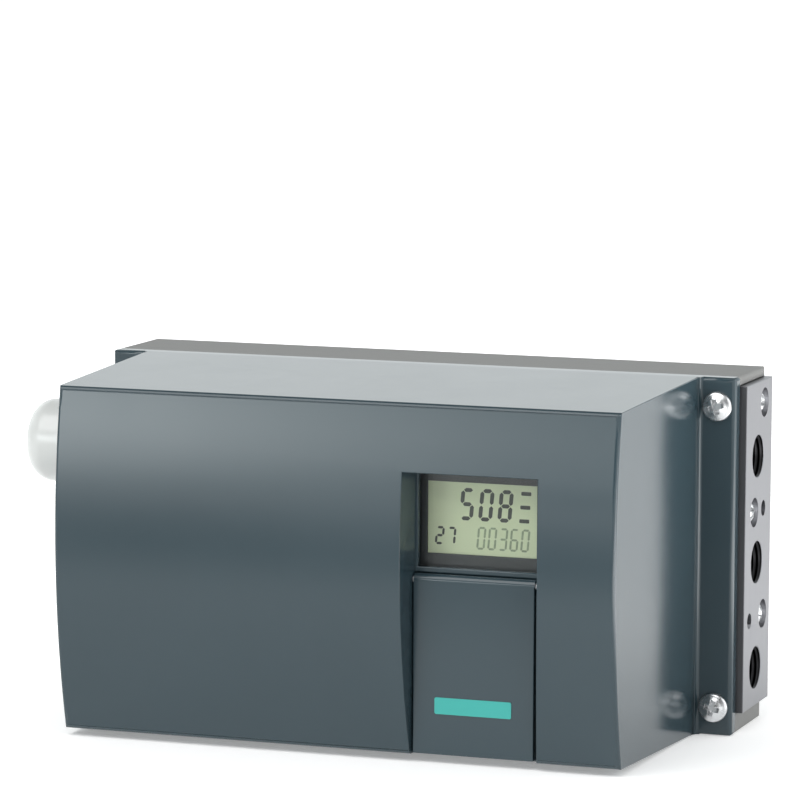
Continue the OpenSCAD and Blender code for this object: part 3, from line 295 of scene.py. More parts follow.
def shade(colour, factor):
    """A colour made lighter or darker."""
    return tuple(min(1.0, channel * factor) for channel in colour)


def linear(*srgb):
    """Linear colour from 8-bit sRGB channels."""
    scaled = [channel / 255 for channel in srgb]
    return tuple(c / 12.92 if c <= 0.04045 else ((c + 0.055) / 1.055) ** 2.4 for c in scaled)


# Finishes

# Moulded plastics: colour, gloss, length and depth of the grain
PLASTICS = {
    "display_frame": ((0.022, 0.025, 0.030), 0.5, 0.2 * MM, 0.01 * MM),
    "key_grey": ((0.24, 0.26, 0.27), 0.5, 0.25 * MM, 0.015 * MM),
    "key_print": ((0.75, 0.76, 0.75), 0.4, 0.2 * MM, 0.004 * MM),
    "valve_dark": ((0.06, 0.066, 0.07), 0.45, 0.3 * MM, 0.02 * MM),
    "gland_white": (linear(197, 199, 197), 0.72, 0.3 * MM, 0.006 * MM),
    "plug_dark": ((0.03, 0.033, 0.036), 0.46, 0.3 * MM, 0.02 * MM),
    "chip_black": ((0.016, 0.017, 0.019), 0.4, 0.2 * MM, 0.01 * MM),
    "terminal_grey": ((0.13, 0.17, 0.13), 0.45, 0.3 * MM, 0.02 * MM),
    "gear_ivory": (linear(222, 216, 196), 0.5, 0.3 * MM, 0.01 * MM),
    "clutch_yellow": (linear(222, 178, 40), 0.5, 0.3 * MM, 0.01 * MM),
    "pot_blue": (linear(52, 70, 112), 0.5, 0.3 * MM, 0.01 * MM),
}

# Turned metals: colour and least roughness
METALS = {
    "bridge_metal": ((0.62, 0.62, 0.64), 0.34),
    "brass": ((0.6, 0.45, 0.18), 0.26),
    "restrictor_black": ((0.05, 0.05, 0.052), 0.4),
    "silencer_brass": ((0.5, 0.38, 0.17), 0.42),
    "shaft_steel": ((0.6, 0.61, 0.63), 0.22),
}


def plastic(name, coat=0.0):
    """One of the listed plastics."""
    return moulded_plastic(name, *PLASTICS[name], coat)


def moulded_plastic(name, colour, gloss, grain, depth, coat=0.0):
    """Moulded plastic: eroded grain of the tool, faint flow clouds and a slightly uneven gloss."""
    finish = Finish(name)
    clouds = finish.noise(30 * MM, 1.0)
    flow = finish.noise(5 * MM, 1.0)
    skin = finish.cells(grain) + 0.6 * finish.noise(grain * 2.2)
    tone = finish.mix(0.7 * clouds + 0.3 * flow, shade(colour, 0.95), shade(colour, 1.05))
    rough = (1 - gloss) + 0.06 * (clouds - 0.5) + 0.03 * (flow - 0.5)
    shader = finish.principled(
        base_color=tone, roughness=rough, coat_weight=coat, coat_roughness=0.16,
        normal=finish.bump(skin, depth),
    )
    return finish.done(shader)


def bright_steel(name, colour):
    """Plated steel with fine marks and dull blotches."""
    finish = Finish(name)
    blotch = finish.noise(2.5 * MM, 3.0)
    marks = finish.noise(0.18 * MM, 2.0)
    tone = finish.mix(blotch.between(0.35, 0.7), shade(colour, 0.86), shade(colour, 1.04))
    tone = finish.mix(marks.between(0.62, 0.8) * 0.35, tone, shade(colour, 0.7))
    shader = finish.principled(
        base_color=tone, metallic=1.0, roughness=0.2 + 0.16 * blotch, normal=finish.bump(marks, 0.006 * MM),
    )
    return finish.done(shader)


def anodised_block(name, colour, ports):
    """Anodised aluminium with fine feed lines, and painted shade on its front edge.

    The ports' walls carry painted shade, a little lighter on the thread's ridges, and their thread as a bump.
    """
    finish = Finish(name)
    x, y, z = finish.axes()
    lines = finish.noise(0.5 * MM, 3.0, finish.stretched((1.0, 1.0, 0.06)))
    blotch = finish.noise(12 * MM, 3.0)
    tone = finish.mix(blotch.between(0.3, 0.75), shade(colour, 0.93), shade(colour, 1.03))
    tone = finish.mix(lines.between(0.55, 0.75) * 0.4, tone, shade(colour, 0.86))
    # Painted shade: the block's front face, just behind the cover's ear, is darkened.
    painted_shade_edge = 1 - y.between(ports["front"] + 0.1 * MM, ports["front"] + 0.3 * MM)
    tone = finish.mix(painted_shade_edge, tone, shade(colour, 0.36))
    across = y - ports["y"]
    along = ((z - ports["z"]) / ports["pitch"] + 0.5).fraction() * ports["pitch"] - ports["pitch"] / 2
    radius = (across * across + along * along).root()
    in_port = 1 - radius.between(ports["r"] + 0.02 * MM, ports["r"] + 0.1 * MM)
    ridge = abs((x / PORT_PITCH + along.turn_from(across)).fraction() - 0.5) * 2
    height = in_port * ridge * 6 + (1 - in_port) * lines * 0.12
    # Painted shade in the ports: near black, a little lighter on the thread's ridges.
    tone = finish.mix(in_port, tone, finish.mix(ridge, shade(colour, 0.03), shade(colour, 0.12)))
    shader = finish.principled(
        base_color=tone, metallic=1.0, roughness=0.34 + 0.14 * blotch, normal=finish.bump(height, 0.1 * MM),
    )
    return finish.done(shader)


def turned_metal(name):
    """One of the listed metals, with fine rings and a dull film."""
    colour, rough = METALS[name]
    finish = Finish(name)
    film = finish.noise(4 * MM, 3.0)
    rings = finish.noise(0.25 * MM, 2.0, finish.stretched((1.0, 4.0, 1.0)))
    tone = finish.mix(film.between(0.3, 0.7), shade(colour, 0.82), colour)
    shader = finish.principled(
        base_color=tone, metallic=1.0, roughness=rough + 0.14 * film, normal=finish.bump(rings, 0.01 * MM),
    )
    return finish.done(shader)


def seal_rubber(name, colour):
    """Black rubber with a dusty bloom."""
    finish = Finish(name)
    bloom = finish.noise(3 * MM, 4.0)
    pores = finish.cells(0.25 * MM)
    tone = finish.mix(bloom.between(0.45, 0.8), colour, shade(colour, 2.2))
    shader = finish.principled(
        base_color=tone, roughness=0.72 + 0.15 * (bloom - 0.5), normal=finish.bump(pores, 0.02 * MM),
    )
    return finish.done(shader)


def circuit_board(name, colour):
    """Solder mask over copper tracks on a square grid, with bare pads at some crossings."""
    finish = Finish(name)
    x, _, z = finish.axes()
    pitch = 2.54 * MM
    column = abs((x / pitch).fraction() - 0.5)
    row = abs((z / pitch).fraction() - 0.5)
    wander = finish.noise(7 * MM, 0.0)
    track = (1 - column.between(0.1, 0.13)) * (wander > 0.5) + (1 - row.between(0.1, 0.13)) * (wander < 0.5)
    pad = (1 - (column * column + row * row).root().between(0.14, 0.17)) * (finish.noise(5 * MM, 0.0) > 0.56)
    tone = finish.mix(track.between(0.2, 0.8), shade(colour, 0.75), shade(colour, 1.25))
    tone = finish.mix(pad, tone, linear(186, 176, 140))
    shader = finish.principled(
        base_color=tone, roughness=0.4 - 0.1 * pad, metallic=pad, normal=finish.bump(track + pad, 0.03 * MM),
    )
    return finish.done(shader)


def clear_pane(name, tint):
    """Polished clear plastic: see-through, with a mirror gloss that grows towards grazing sight."""
    finish = Finish(name)
    haze = finish.noise(8 * MM, 3.0).between(0.4, 0.9)
    gloss = finish.node("ShaderNodeBsdfGlossy", None, {"Color": tint, "Roughness": 0.04})
    through = finish.node("ShaderNodeBsdfTransparent", None, {"Color": tint})
    facing = finish.node("ShaderNodeFresnel", None, {"IOR": 1.45})
    share = facing * 0.9 + haze * 0.015
    return finish.done(finish.node("ShaderNodeMixShader", None, {0: share, 1: through, 2: gloss}))


def display_face(name, colour):
    """Reflective display glass with a faint cell structure and painted shade along its rim."""
    finish = Finish(name)
    low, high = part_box("lcd_panel")
    x, _, z = finish.axes()
    cells = finish.noise(0.35 * MM, 0.0)
    drift = finish.noise(14 * MM, 1.0)
    edge = abs(x - (low.x + high.x) / 2) / ((high.x - low.x) / 2)
    sill = abs(z - (low.z + high.z) / 2) / ((high.z - low.z) / 2)
    # Painted shade: the face darkens towards its rim, next to the frame.
    rim = (edge ** 12 + sill ** 12).between(0.2, 1.0)
    tone = finish.mix(drift.between(0.3, 0.7), shade(colour, 0.97), shade(colour, 1.03))
    tone = finish.mix(cells.between(0.6, 0.8) * 0.15, tone, shade(colour, 0.9))
    tone = finish.mix(rim * 0.45, tone, shade(colour, 0.6))
    shader = finish.principled(
        base_color=tone, roughness=0.3 + 0.08 * drift, normal=finish.bump(cells, 0.004 * MM),
    )
    return finish.done(shader)


def display_ink(name, colour):
    """Switched-on display segments, slightly uneven."""
    finish = Finish(name)
    uneven = finish.noise(1.2 * MM, 2.0)
    tone = finish.mix(uneven.between(0.3, 0.8), colour, shade(colour, 1.35))
    shader = finish.principled(base_color=tone, roughness=0.45 + 0.1 * uneven)
    return finish.done(shader)


def studio_floor(name, colour, glow):
    """Pale paper with a hardly visible fibre, on a light table; far in front of the part the paper carries
    painted shade.

    The table is dim just in front of the part, lighter behind it and far in front, brightest to its right.
    """
    finish = Finish(name)
    x, y, _ = finish.axes()
    fibre = finish.noise(4 * MM, 3.0)
    near = y.between(*NEAR)
    tone = finish.mix(fibre.between(0.3, 0.7), shade(colour, 0.985), colour)
    # Painted shade: beyond the near zone, far in front of the part, the paper is dark, so the front of the
    # cover mirrors a dim floor.
    tone = finish.mix(near, shade(colour, 0.2), tone)
    glows = {zone: shade(colour, share) for zone, share in GLOW.items()}
    far = finish.mix(y.between(*APPROACH), glows["far"], glows["approach"])
    close = finish.mix(y.between(*BEHIND), glows["front"], glows["behind"])
    lit = finish.mix(near, far, close)
    right = x.between(*RIGHT) * near * (1 - y.between(*PAST_RIGHT))
    lit = finish.mix(right, lit, glows["right"])
    shader = finish.principled(base_color=tone, roughness=0.9, emission_color=lit, emission_strength=glow)
    return finish.done(shader)


# Meshes


def link(name, mesh):
    """New object at the origin for a finished mesh."""
    piece = bpy.data.objects.new(name, mesh)
    bpy.context.scene.collection.objects.link(piece)
    return piece


def settle(piece, body, material, slot, *nodes):
    """Gives a finished piece its material and its body, and hides the solids that it stands for."""
    piece.data.materials.clear()
    piece.data.materials.append(material)
    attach(piece, body)
    if nodes:
        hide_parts(*nodes)


def dress(node, name, edge, body, material, slot, **shape):
    """Puts a softened copy of a solid in its place."""
    settle(softened(node, name, edge, **shape), body, material, slot, node)


def wear(nodes, material):
    """Gives solids that stay as they are their finish."""
    for node in nodes:
        mesh = frame["nodes"][node].data
        mesh.materials.clear()
        mesh.materials.append(material)


def applied(piece):
    """Replaces a piece's mesh by the one that its modifiers make, and removes them."""
    graph = bpy.context.evaluated_depsgraph_get()
    mesh = bpy.data.meshes.new_from_object(piece.evaluated_get(graph))
    piece.modifiers.clear()
    old = piece.data
    piece.data = mesh
    bpy.data.meshes.remove(old)
    return piece


def smooth(piece, angle):
    """Smooth shading, broken at edges sharper than the angle, with flat faces kept flat."""
    mesh = piece.data
    mesh.polygons.foreach_set("use_smooth", [True] * len(mesh.polygons))
    mesh.set_sharp_from_angle(angle=angle)
    weigh = piece.modifiers.new("Face weights", "WEIGHTED_NORMAL")
    weigh.keep_sharp = True
    weigh.weight = 80
    return applied(piece)


def merged(node):
    """Mesh under construction from a solid, whose loose triangles are joined at their corners."""
    sheet = bmesh.new()
    sheet.from_mesh(frame["nodes"][node].data)
    bmesh.ops.remove_doubles(sheet, verts=sheet.verts, dist=MERGE)
    return sheet


def even_rounding(sheet, side):
    """Lays new triangles over the rounding between the front and a flank of the cover.

    The points lie on the true surface, but some of the solid's long triangles cut through it.
    """
    reach = max(side * vert.co.x for vert in sheet.verts if vert.co.y < FRONT_BULGE)

    def across(vert):
        return (side * vert.co.x - reach) / ROUNDING + 1

    def on_strip(vert):
        return -0.01 < across(vert) < 1.001 and abs(vert.co.z) < ROUNDING_END and vert.co.y < FRONT_EDGE

    def unrolled(vert):
        turn = math.asin(max(0.0, min(1.0, across(vert))))
        return Vector((vert.co.z, STRIP_STRETCH * ROUNDING * turn))

    old = [face for face in sheet.faces if all(on_strip(vert) for vert in face.verts)]
    chosen = set(old)
    edges = list(dict.fromkeys(edge for face in old for edge in face.edges))
    rim = [edge for edge in edges if sum(face in chosen for face in edge.link_faces) == 1]
    verts = list(dict.fromkeys(vert for face in old for vert in face.verts))
    index = {vert: i for i, vert in enumerate(verts)}
    flat = [unrolled(vert) for vert in verts]
    borders = [[index[vert] for vert in edge.verts] for edge in rim]
    _, _, triangles, origins, *_ = delaunay_2d_cdt(flat, borders, [], 1, 1e-9)
    corners = [verts[origin[0]] for origin in origins]
    bmesh.ops.delete(sheet, geom=old, context="FACES_ONLY")
    for edge in edges:
        if edge.is_wire:
            sheet.edges.remove(edge)
    for triangle in triangles:
        face = sheet.faces.new([corners[i] for i in triangle])
        face.normal_update()
        if face.normal.x * side - face.normal.y < 0:
            face.normal_flip()


def softened(node, name, width, segments=2, mend=(), wide=None):
    """Merged copy of a solid whose sharp outer edges are rounded off by a small width.

    Where wide is given, it picks edges whose rounding is WIDE times as broad.
    """
    sheet = merged(node)
    for side in mend:
        even_rounding(sheet, side)
    bmesh.ops.dissolve_limit(sheet, angle_limit=math.radians(0.2), verts=sheet.verts, edges=sheet.edges)
    weights = sheet.edges.layers.float.new("bevel_weight_edge")
    for edge in sheet.edges:
        outer = edge.is_manifold and edge.is_convex and edge.calc_face_angle() > SHARP
        if outer and edge.calc_length() > 2 * width:
            edge[weights] = 1.0 if wide and wide(edge) else 1.0 / WIDE
    piece = link(name, mesh_of(name, sheet))
    bevel = piece.modifiers.new("Edge rounding", "BEVEL")
    bevel.width = width * WIDE
    bevel.segments = segments
    bevel.limit_method = "WEIGHT"
    bevel.use_clamp_overlap = False
    applied(piece)
    return smooth(piece, SHARP)


def on_ear_rim(edge):
    """Whether an edge lies on the upright outer rim of a screw ear's front."""
    return all(abs(v.co.y - EAR_FRONT) < 0.01 * MM and abs(v.co.x) > EAR_REACH for v in edge.verts)


def prism(sheet, outline, back, front):
    """Adds a plate to a mesh under construction: an outline in XZ between two levels along Y."""
    rear = [sheet.verts.new((x, back, z)) for x, z in outline]
    face = [sheet.verts.new((x, front, z)) for x, z in outline]
    sheet.faces.new(rear)
    sheet.faces.new(reversed(face))
    count = len(outline)
    for i in range(count):
        j = (i + 1) % count
        sheet.faces.new((rear[j], rear[i], face[i], face[j]))


def rounded_outline(centre, width, height, radius, steps=6):
    """Corner points of a rectangle with round corners, as (x, z)."""
    points = []
    for quarter, (sx, sz) in enumerate(((1, 1), (-1, 1), (-1, -1), (1, -1))):
        cx = centre[0] + sx * (width / 2 - radius)
        cz = centre[1] + sz * (height / 2 - radius)
        for step in range(steps + 1):
            angle = math.pi / 2 * (quarter + step / steps)
            points.append((cx + radius * math.cos(angle), cz + radius * math.sin(angle)))
    return points


def mesh_of(name, sheet):
    """Plain mesh of a construction, which is freed."""
    mesh = bpy.data.meshes.new(name)
    sheet.to_mesh(mesh)
    sheet.free()
    return mesh


def closed_mesh(name, sheet):
    """Mesh of a construction, with its faces turned outwards."""
    bmesh.ops.recalc_face_normals(sheet, faces=sheet.faces)
    return mesh_of(name, sheet)


def joined(name, pieces):
    """One mesh from several pieces, which are removed."""
    sheet = bmesh.new()
    for piece in pieces:
        sheet.from_mesh(piece.data)
        bpy.data.objects.remove(piece)
    return link(name, mesh_of(name, sheet))


def print_levels(node, rise):
    """Rear and front of a thin mark on a solid's front: a little sunk, and proud by the rise."""
    low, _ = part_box(node)
    return low.y + SUNK, low.y - rise


# Display segments: each is named by its place, and a digit by the segments that are on

SEGMENTS_ON = {
    "0": "abcdef", "1": "bc", "2": "abdeg", "3": "abcdg", "4": "bcfg",
    "5": "acdfg", "6": "acdefg", "7": "abc", "8": "abcdefg", "9": "abcdfg",
}


def segment_outline(which, width, height, stroke):
    """Outline of one pointed segment of a digit whose lower left corner is at (0, 0)."""
    half, gap = stroke / 2, stroke * 0.14
    ends = {
        "a": ((half, height - half), (width - half, height - half)),
        "g": ((half, height / 2), (width - half, height / 2)),
        "d": ((half, half), (width - half, half)),
        "f": ((half, height / 2), (half, height - half)),
        "b": ((width - half, height / 2), (width - half, height - half)),
        "e": ((half, half), (half, height / 2)),
        "c": ((width - half, half), (width - half, height / 2)),
    }
    start, end = (Vector(point) for point in ends[which])
    along = (end - start).normalized()
    side = Vector((-along.y, along.x))
    start, end = start + along * gap, end - along * gap
    return [
        start, start + (along - side) * half, end - (along + side) * half,
        end, end - (along - side) * half, start + (along + side) * half,
    ]


def write_digits(sheet, text, row, corner, levels):
    """Adds a row of seven-segment digits; the corner is that of the display's visible area."""
    width, height = (size * MM for size in row["digit"])
    start = corner[0] + row["corner"][0] * MM
    foot = corner[1] + row["corner"][1] * MM
    for place, figure in enumerate(text):
        left = start + place * (width + row["gap"] * MM)
        for which in SEGMENTS_ON[figure]:
            outline = segment_outline(which, width, height, row["stroke"] * MM)
            points = [(left + p.x + SLANT * p.y, foot + p.y) for p in outline]
            prism(sheet, points, *levels)


# Screws


def pan_head(name, radius, height):
    """Pan head with a rolled edge and a cross recess; its seat lies at Z = 0 and its crown points up."""
    edge = 0.32 * height
    crown = 0.42 * height
    profile = [(0.0, 0.0), (radius * 0.97, 0.0), (radius, 0.03 * height), (radius, height - crown - edge)]
    for step in range(1, 6):
        angle = math.pi / 2 * step / 6
        profile.append((radius - edge * (1 - math.cos(angle)), height - crown - edge * (1 - math.sin(angle))))
    inner = radius - edge
    for step in range(7):
        share = step / 6
        profile.append((inner * (1 - share), height - crown * (1 - share) ** 2))
    sheet = bmesh.new()
    verts = [sheet.verts.new((r, 0, z)) for r, z in profile]
    edges = [sheet.edges.new(pair) for pair in zip(verts, verts[1:])]
    bmesh.ops.spin(
        sheet, geom=verts + edges, cent=(0, 0, 0), axis=(0, 0, 1), angle=math.tau, steps=HEAD_SIDES,
        use_duplicate=False,
    )
    bmesh.ops.remove_doubles(sheet, verts=sheet.verts, dist=0.001 * MM)
    head = link(name, closed_mesh(name, sheet))
    cutter = link(name + "_recess", cross_cutter(name, radius, height))
    cut = head.modifiers.new("Cross recess", "BOOLEAN")
    cut.object = cutter
    cut.operation = "DIFFERENCE"
    cut.solver = "EXACT"
    applied(head)
    bpy.data.objects.remove(cutter)
    bevel = head.modifiers.new("Worn edges", "BEVEL")
    bevel.width = 0.07 * MM
    bevel.segments = 2
    bevel.limit_method = "ANGLE"
    bevel.angle_limit = CREASE
    bevel.use_clamp_overlap = False
    applied(head)
    return smooth(head, CREASE)


def cross_cutter(name, radius, height):
    """Tapered cross that a driver fits in."""
    wing, root = 0.56 * radius, 0.17 * radius
    quarter = ((root, -root), (wing, -root), (wing, root))
    sheet = bmesh.new()
    rings = []
    for level, share in ((1.2 * height, 1.25), (0.32 * height, 0.55)):
        ring = []
        for turn in range(4):
            spin = Matrix.Rotation(math.pi / 2 * turn, 4, "Z")
            for x, y in quarter:
                far = x * share if x == wing else x
                ring.append(sheet.verts.new(spin @ Vector((far, y, level))))
        rings.append(ring)
    top, foot = rings
    sheet.faces.new(top)
    sheet.faces.new(reversed(foot))
    count = len(top)
    for i in range(count):
        j = (i + 1) % count
        sheet.faces.new((top[i], foot[i], foot[j], top[j]))
    return closed_mesh(name + "_recess", sheet)


def screw_tree():
    """Geometry Nodes group that sets screws with a threaded shank on points.

    Each point carries its turn about its own axis. The shank is a bar with a spiral ridge.
    """
    tree = bpy.data.node_groups.new("Threaded screws", "GeometryNodeTree")
    tree.is_modifier = True
    socket = tree.interface.new_socket
    socket("Geometry", in_out="OUTPUT", socket_type="NodeSocketGeometry")
    socket("Places", in_out="INPUT", socket_type="NodeSocketGeometry")
    socket("Head", in_out="INPUT", socket_type="NodeSocketObject")
    for name in ("Shank Radius", "Shank Length", "Thread Pitch"):
        socket(name, in_out="INPUT", socket_type="NodeSocketFloat")
    socket("Tilt", in_out="INPUT", socket_type="NodeSocketVector")
    socket("Material", in_out="INPUT", socket_type="NodeSocketMaterial")

    def add(kind, sockets=None, **settings):
        node = tree.nodes.new(kind)
        for key, value in settings.items():
            setattr(node, key, value)
        for key, value in (sockets or {}).items():
            if isinstance(value, bpy.types.NodeSocket):
                tree.links.new(value, node.inputs[key])
            else:
                node.inputs[key].default_value = value
        return node

    def maths(operation, first, second):
        return add("ShaderNodeMath", {0: first, 1: second}, operation=operation).outputs[0]

    given = add("NodeGroupInput").outputs
    length, pitch, radius = given["Shank Length"], given["Thread Pitch"], given["Shank Radius"]
    core = maths("MULTIPLY", radius, 0.86)
    bar = add("GeometryNodeMeshCylinder", {"Vertices": 24, "Radius": core, "Depth": length})
    turns = maths("DIVIDE", length, pitch)
    spiral = add("GeometryNodeCurveSpiral", {
        "Resolution": 20, "Rotations": turns, "Start Radius": core, "End Radius": core, "Height": length,
    })
    depth = maths("MULTIPLY", radius, 0.13)
    ridge = add("GeometryNodeCurvePrimitiveCircle", {"Resolution": 3, "Radius": depth})
    thread = add("GeometryNodeCurveToMesh", {
        "Curve": spiral.outputs[0], "Profile Curve": ridge.outputs[0], "Fill Caps": True,
    })
    drop = add("ShaderNodeCombineXYZ", {2: maths("MULTIPLY", length, -1.0)})
    half_drop = add("ShaderNodeCombineXYZ", {2: maths("MULTIPLY", length, -0.5)})
    low_thread = add("GeometryNodeTransform", {"Geometry": thread.outputs[0], "Translation": drop.outputs[0]})
    low_bar = add("GeometryNodeTransform", {"Geometry": bar.outputs[0], "Translation": half_drop.outputs[0]})
    head = add("GeometryNodeObjectInfo", {"Object": given["Head"]})
    screw = add("GeometryNodeJoinGeometry")
    for part in (head.outputs["Geometry"], low_bar.outputs[0], low_thread.outputs[0]):
        tree.links.new(part, screw.inputs[0])
    tilt = add("FunctionNodeEulerToRotation", {0: given["Tilt"]})
    placed = add("GeometryNodeInstanceOnPoints", {
        "Points": given["Places"], "Instance": screw.outputs[0], "Rotation": tilt.outputs[0],
    })
    turn = add("GeometryNodeInputNamedAttribute", {"Name": "turn"}, data_type="FLOAT")
    about = add("ShaderNodeCombineXYZ", {2: turn.outputs[0]})
    spin = add("FunctionNodeEulerToRotation", {0: about.outputs[0]})
    turned = add("GeometryNodeRotateInstances", {"Instances": placed.outputs[0], "Rotation": spin.outputs[0]})
    real = add("GeometryNodeRealizeInstances", {"Geometry": turned.outputs[0]})
    shaded = add("GeometryNodeSetMaterial", {"Geometry": real.outputs[0], "Material": given["Material"]})
    add("NodeGroupOutput", {0: shaded.outputs[0]})
    return tree


def screw_set(name, tree, head, places, turns, length, tilt, material):
    """Plain mesh of screws with shanks of a length on the given places, made by the screw tree."""
    mesh = bpy.data.meshes.new(name)
    mesh.from_pydata(places, [], [])
    attribute = mesh.attributes.new("turn", "FLOAT", "POINT")
    attribute.data.foreach_set("value", turns)
    piece = link(name, mesh)
    modifier = piece.modifiers.new("Screws", "NODES")
    modifier.node_group = tree
    values = {
        "Head": head, "Shank Radius": SHANK_RADIUS, "Shank Length": length, "Thread Pitch": SHANK_PITCH,
        "Tilt": tilt, "Material": material,
    }
    for item in tree.interface.items_tree:
        if item.in_out == "INPUT" and item.name in values:
            modifier[item.identifier] = values[item.name]
    return applied(piece)


def screw_places(node):
    """Boxes of a node's separate solids."""
    sheet = merged(node)
    boxes, seen = [], set()
    for start in sheet.verts:
        if start in seen:
            continue
        group, wave = [], [start]
        seen.add(start)
        while wave:
            vert = wave.pop()
            group.append(vert.co.copy())
            for edge in vert.link_edges:
                other = edge.other_vert(vert)
                if other not in seen:
                    seen.add(other)
                    wave.append(other)
        low = Vector([min(co[i] for co in group) for i in range(3)])
        high = Vector([max(co[i] for co in group) for i in range(3)])
        boxes.append((low, high))
    sheet.free()
    return boxes


# Settings


class ShellLooks(bpy.types.PropertyGroup):
    """Colours and edges of the plastic shell."""

    cover: bpy.props.FloatVectorProperty(
        name="Cover", description="Colour of the cover and the key flap", default=(0.029, 0.049, 0.0595),
        **COLOUR,
    )
    base: bpy.props.FloatVectorProperty(
        name="Base", description="Colour of the base", default=(0.17, 0.17, 0.165), **COLOUR,
    )
    gloss: bpy.props.FloatProperty(
        name="Gloss", description="Smoothness of the cover's skin", default=0.84, subtype="FACTOR",
        min=0, max=1,
    )
    edge: bpy.props.FloatProperty(
        name="Edge rounding", description="Width of the rounding on moulded edges", default=0.25 * MM, min=0,
        **LENGTH,
    )


class DisplayLooks(bpy.types.PropertyGroup):
    """What the display shows, and its colours."""

    upper: bpy.props.StringProperty(name="Upper row", description="Digits of the large row", default="508")
    left: bpy.props.StringProperty(name="Lower left", description="Digits of the small row", default="27")
    right: bpy.props.StringProperty(name="Lower right", description="Digits of the pale row", default="00360")
    face: bpy.props.FloatVectorProperty(
        name="Face", description="Colour of the display's ground", default=linear(209, 216, 181), **COLOUR,
    )
    ink: bpy.props.FloatVectorProperty(
        name="Ink", description="Colour of the segments that are on", default=linear(36, 42, 34), **COLOUR,
    )
    pale_ink: bpy.props.FloatVectorProperty(
        name="Pale ink", description="Colour of the pale row", default=linear(134, 146, 118), **COLOUR,
    )


class PlateLooks(bpy.types.PropertyGroup):
    """Blank plate on the key flap."""

    width: bpy.props.FloatProperty(
        name="Width", description="Width of the plate", default=21 * MM, **LENGTH,
    )
    height: bpy.props.FloatProperty(
        name="Height", description="Height of the plate", default=4.4 * MM, **LENGTH,
    )
    rise: bpy.props.FloatProperty(
        name="Rise", description="Height of the plate's centre above the flap's lower edge", default=13 * MM,
        **LENGTH,
    )
    colour: bpy.props.FloatVectorProperty(
        name="Colour", description="Colour of the plate", default=linear(48, 158, 150), **COLOUR,
    )


class StageLooks(bpy.types.PropertyGroup):
    """Studio light and camera."""

    azimuth: bpy.props.FloatProperty(
        name="Azimuth", description="Turn of the camera round the object", subtype="ANGLE",
        default=math.radians(19.52),
    )
    elevation: bpy.props.FloatProperty(
        name="Elevation", description="Height of the camera above the horizon", subtype="ANGLE",
        default=math.radians(7.12),
    )
    roll: bpy.props.FloatProperty(
        name="Roll", description="Turn of the camera about its sight", subtype="ANGLE",
        default=math.radians(0.31),
    )
    distance: bpy.props.FloatProperty(
        name="Distance", description="Distance of the camera from its target", default=1.241, **LENGTH,
    )
    view: bpy.props.FloatProperty(
        name="View", description="Angle of view of the square picture", subtype="ANGLE",
        default=math.radians(10.10),
    )
    target: bpy.props.FloatVectorProperty(
        name="Target", description="Point in the picture's centre", subtype="XYZ", unit="LENGTH", size=3,
        default=(-6.0 * MM, -28.6 * MM, 37.9 * MM),
    )
    backdrop: bpy.props.FloatProperty(name="Backdrop", description="Light from the rear", default=1.2)
    sheen: bpy.props.FloatProperty(name="Sheen", description="Low light from the front left", default=6.9)
    room: bpy.props.FloatProperty(name="Room", description="Light from everywhere else", default=0.1)
    glow: bpy.props.FloatProperty(name="Floor glow", description="Full light of the light table", default=6.0)
    light: bpy.props.FloatVectorProperty(
        name="Light", description="Colour of the light from around", default=(0.95, 0.995, 1.0), **COLOUR,
    )
    floor: bpy.props.FloatVectorProperty(
        name="Floor", description="Colour of the paper floor", default=(0.94, 0.94, 0.94), **COLOUR,
    )


# Operators


class POSITIONER_OT_shell(bpy.types.Operator):
    """Finishes the base, the cover and the key flap"""

    bl_idname = "positioner.shell"
    bl_label = "Finish the shell"

    def execute(self, context):
        looks = context.scene.positioner_shell
        cover = moulded_plastic("cover_plastic", looks.cover, looks.gloss, grain=0.16 * MM, depth=0.0008 * MM)
        base = moulded_plastic("base_plastic", looks.base, gloss=0.42, grain=0.35 * MM, depth=0.03 * MM)
        dress("front_cover", "cover_shell", looks.edge, "housing", cover, "cover_plastic",
              segments=4, mend=(-1, 1), wide=on_ear_rim)
        dress("base_housing", "base_shell", looks.edge, "housing", base, "base_plastic")
        dress("key_flap", "flap_shell", looks.edge, "key_flap", cover, "cover_plastic")
        return {"FINISHED"}


class POSITIONER_OT_plate(bpy.types.Operator):
    """Puts a blank plate on the key flap"""

    bl_idname = "positioner.plate"
    bl_label = "Add the blank plate"

    def execute(self, context):
        looks = context.scene.positioner_plate
        low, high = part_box("key_flap")
        centre = ((low.x + high.x) / 2, low.z + looks.rise)
        sheet = bmesh.new()
        outline = rounded_outline(centre, looks.width, looks.height, 0.5 * MM)
        prism(sheet, outline, *print_levels("key_flap", 0.18 * MM))
        plate = link("blank_plate", closed_mesh("blank_plate", sheet))
        bevel = plate.modifiers.new("Edge rounding", "BEVEL")
        bevel.width = 0.06 * MM
        bevel.segments = 2
        bevel.limit_method = "ANGLE"
        smooth(applied(plate), CREASE)
        finish = moulded_plastic("plate_print", looks.colour, gloss=0.62, grain=0.2 * MM, depth=0.004 * MM)
        settle(plate, "key_flap", finish, "cover_plastic")
        return {"FINISHED"}


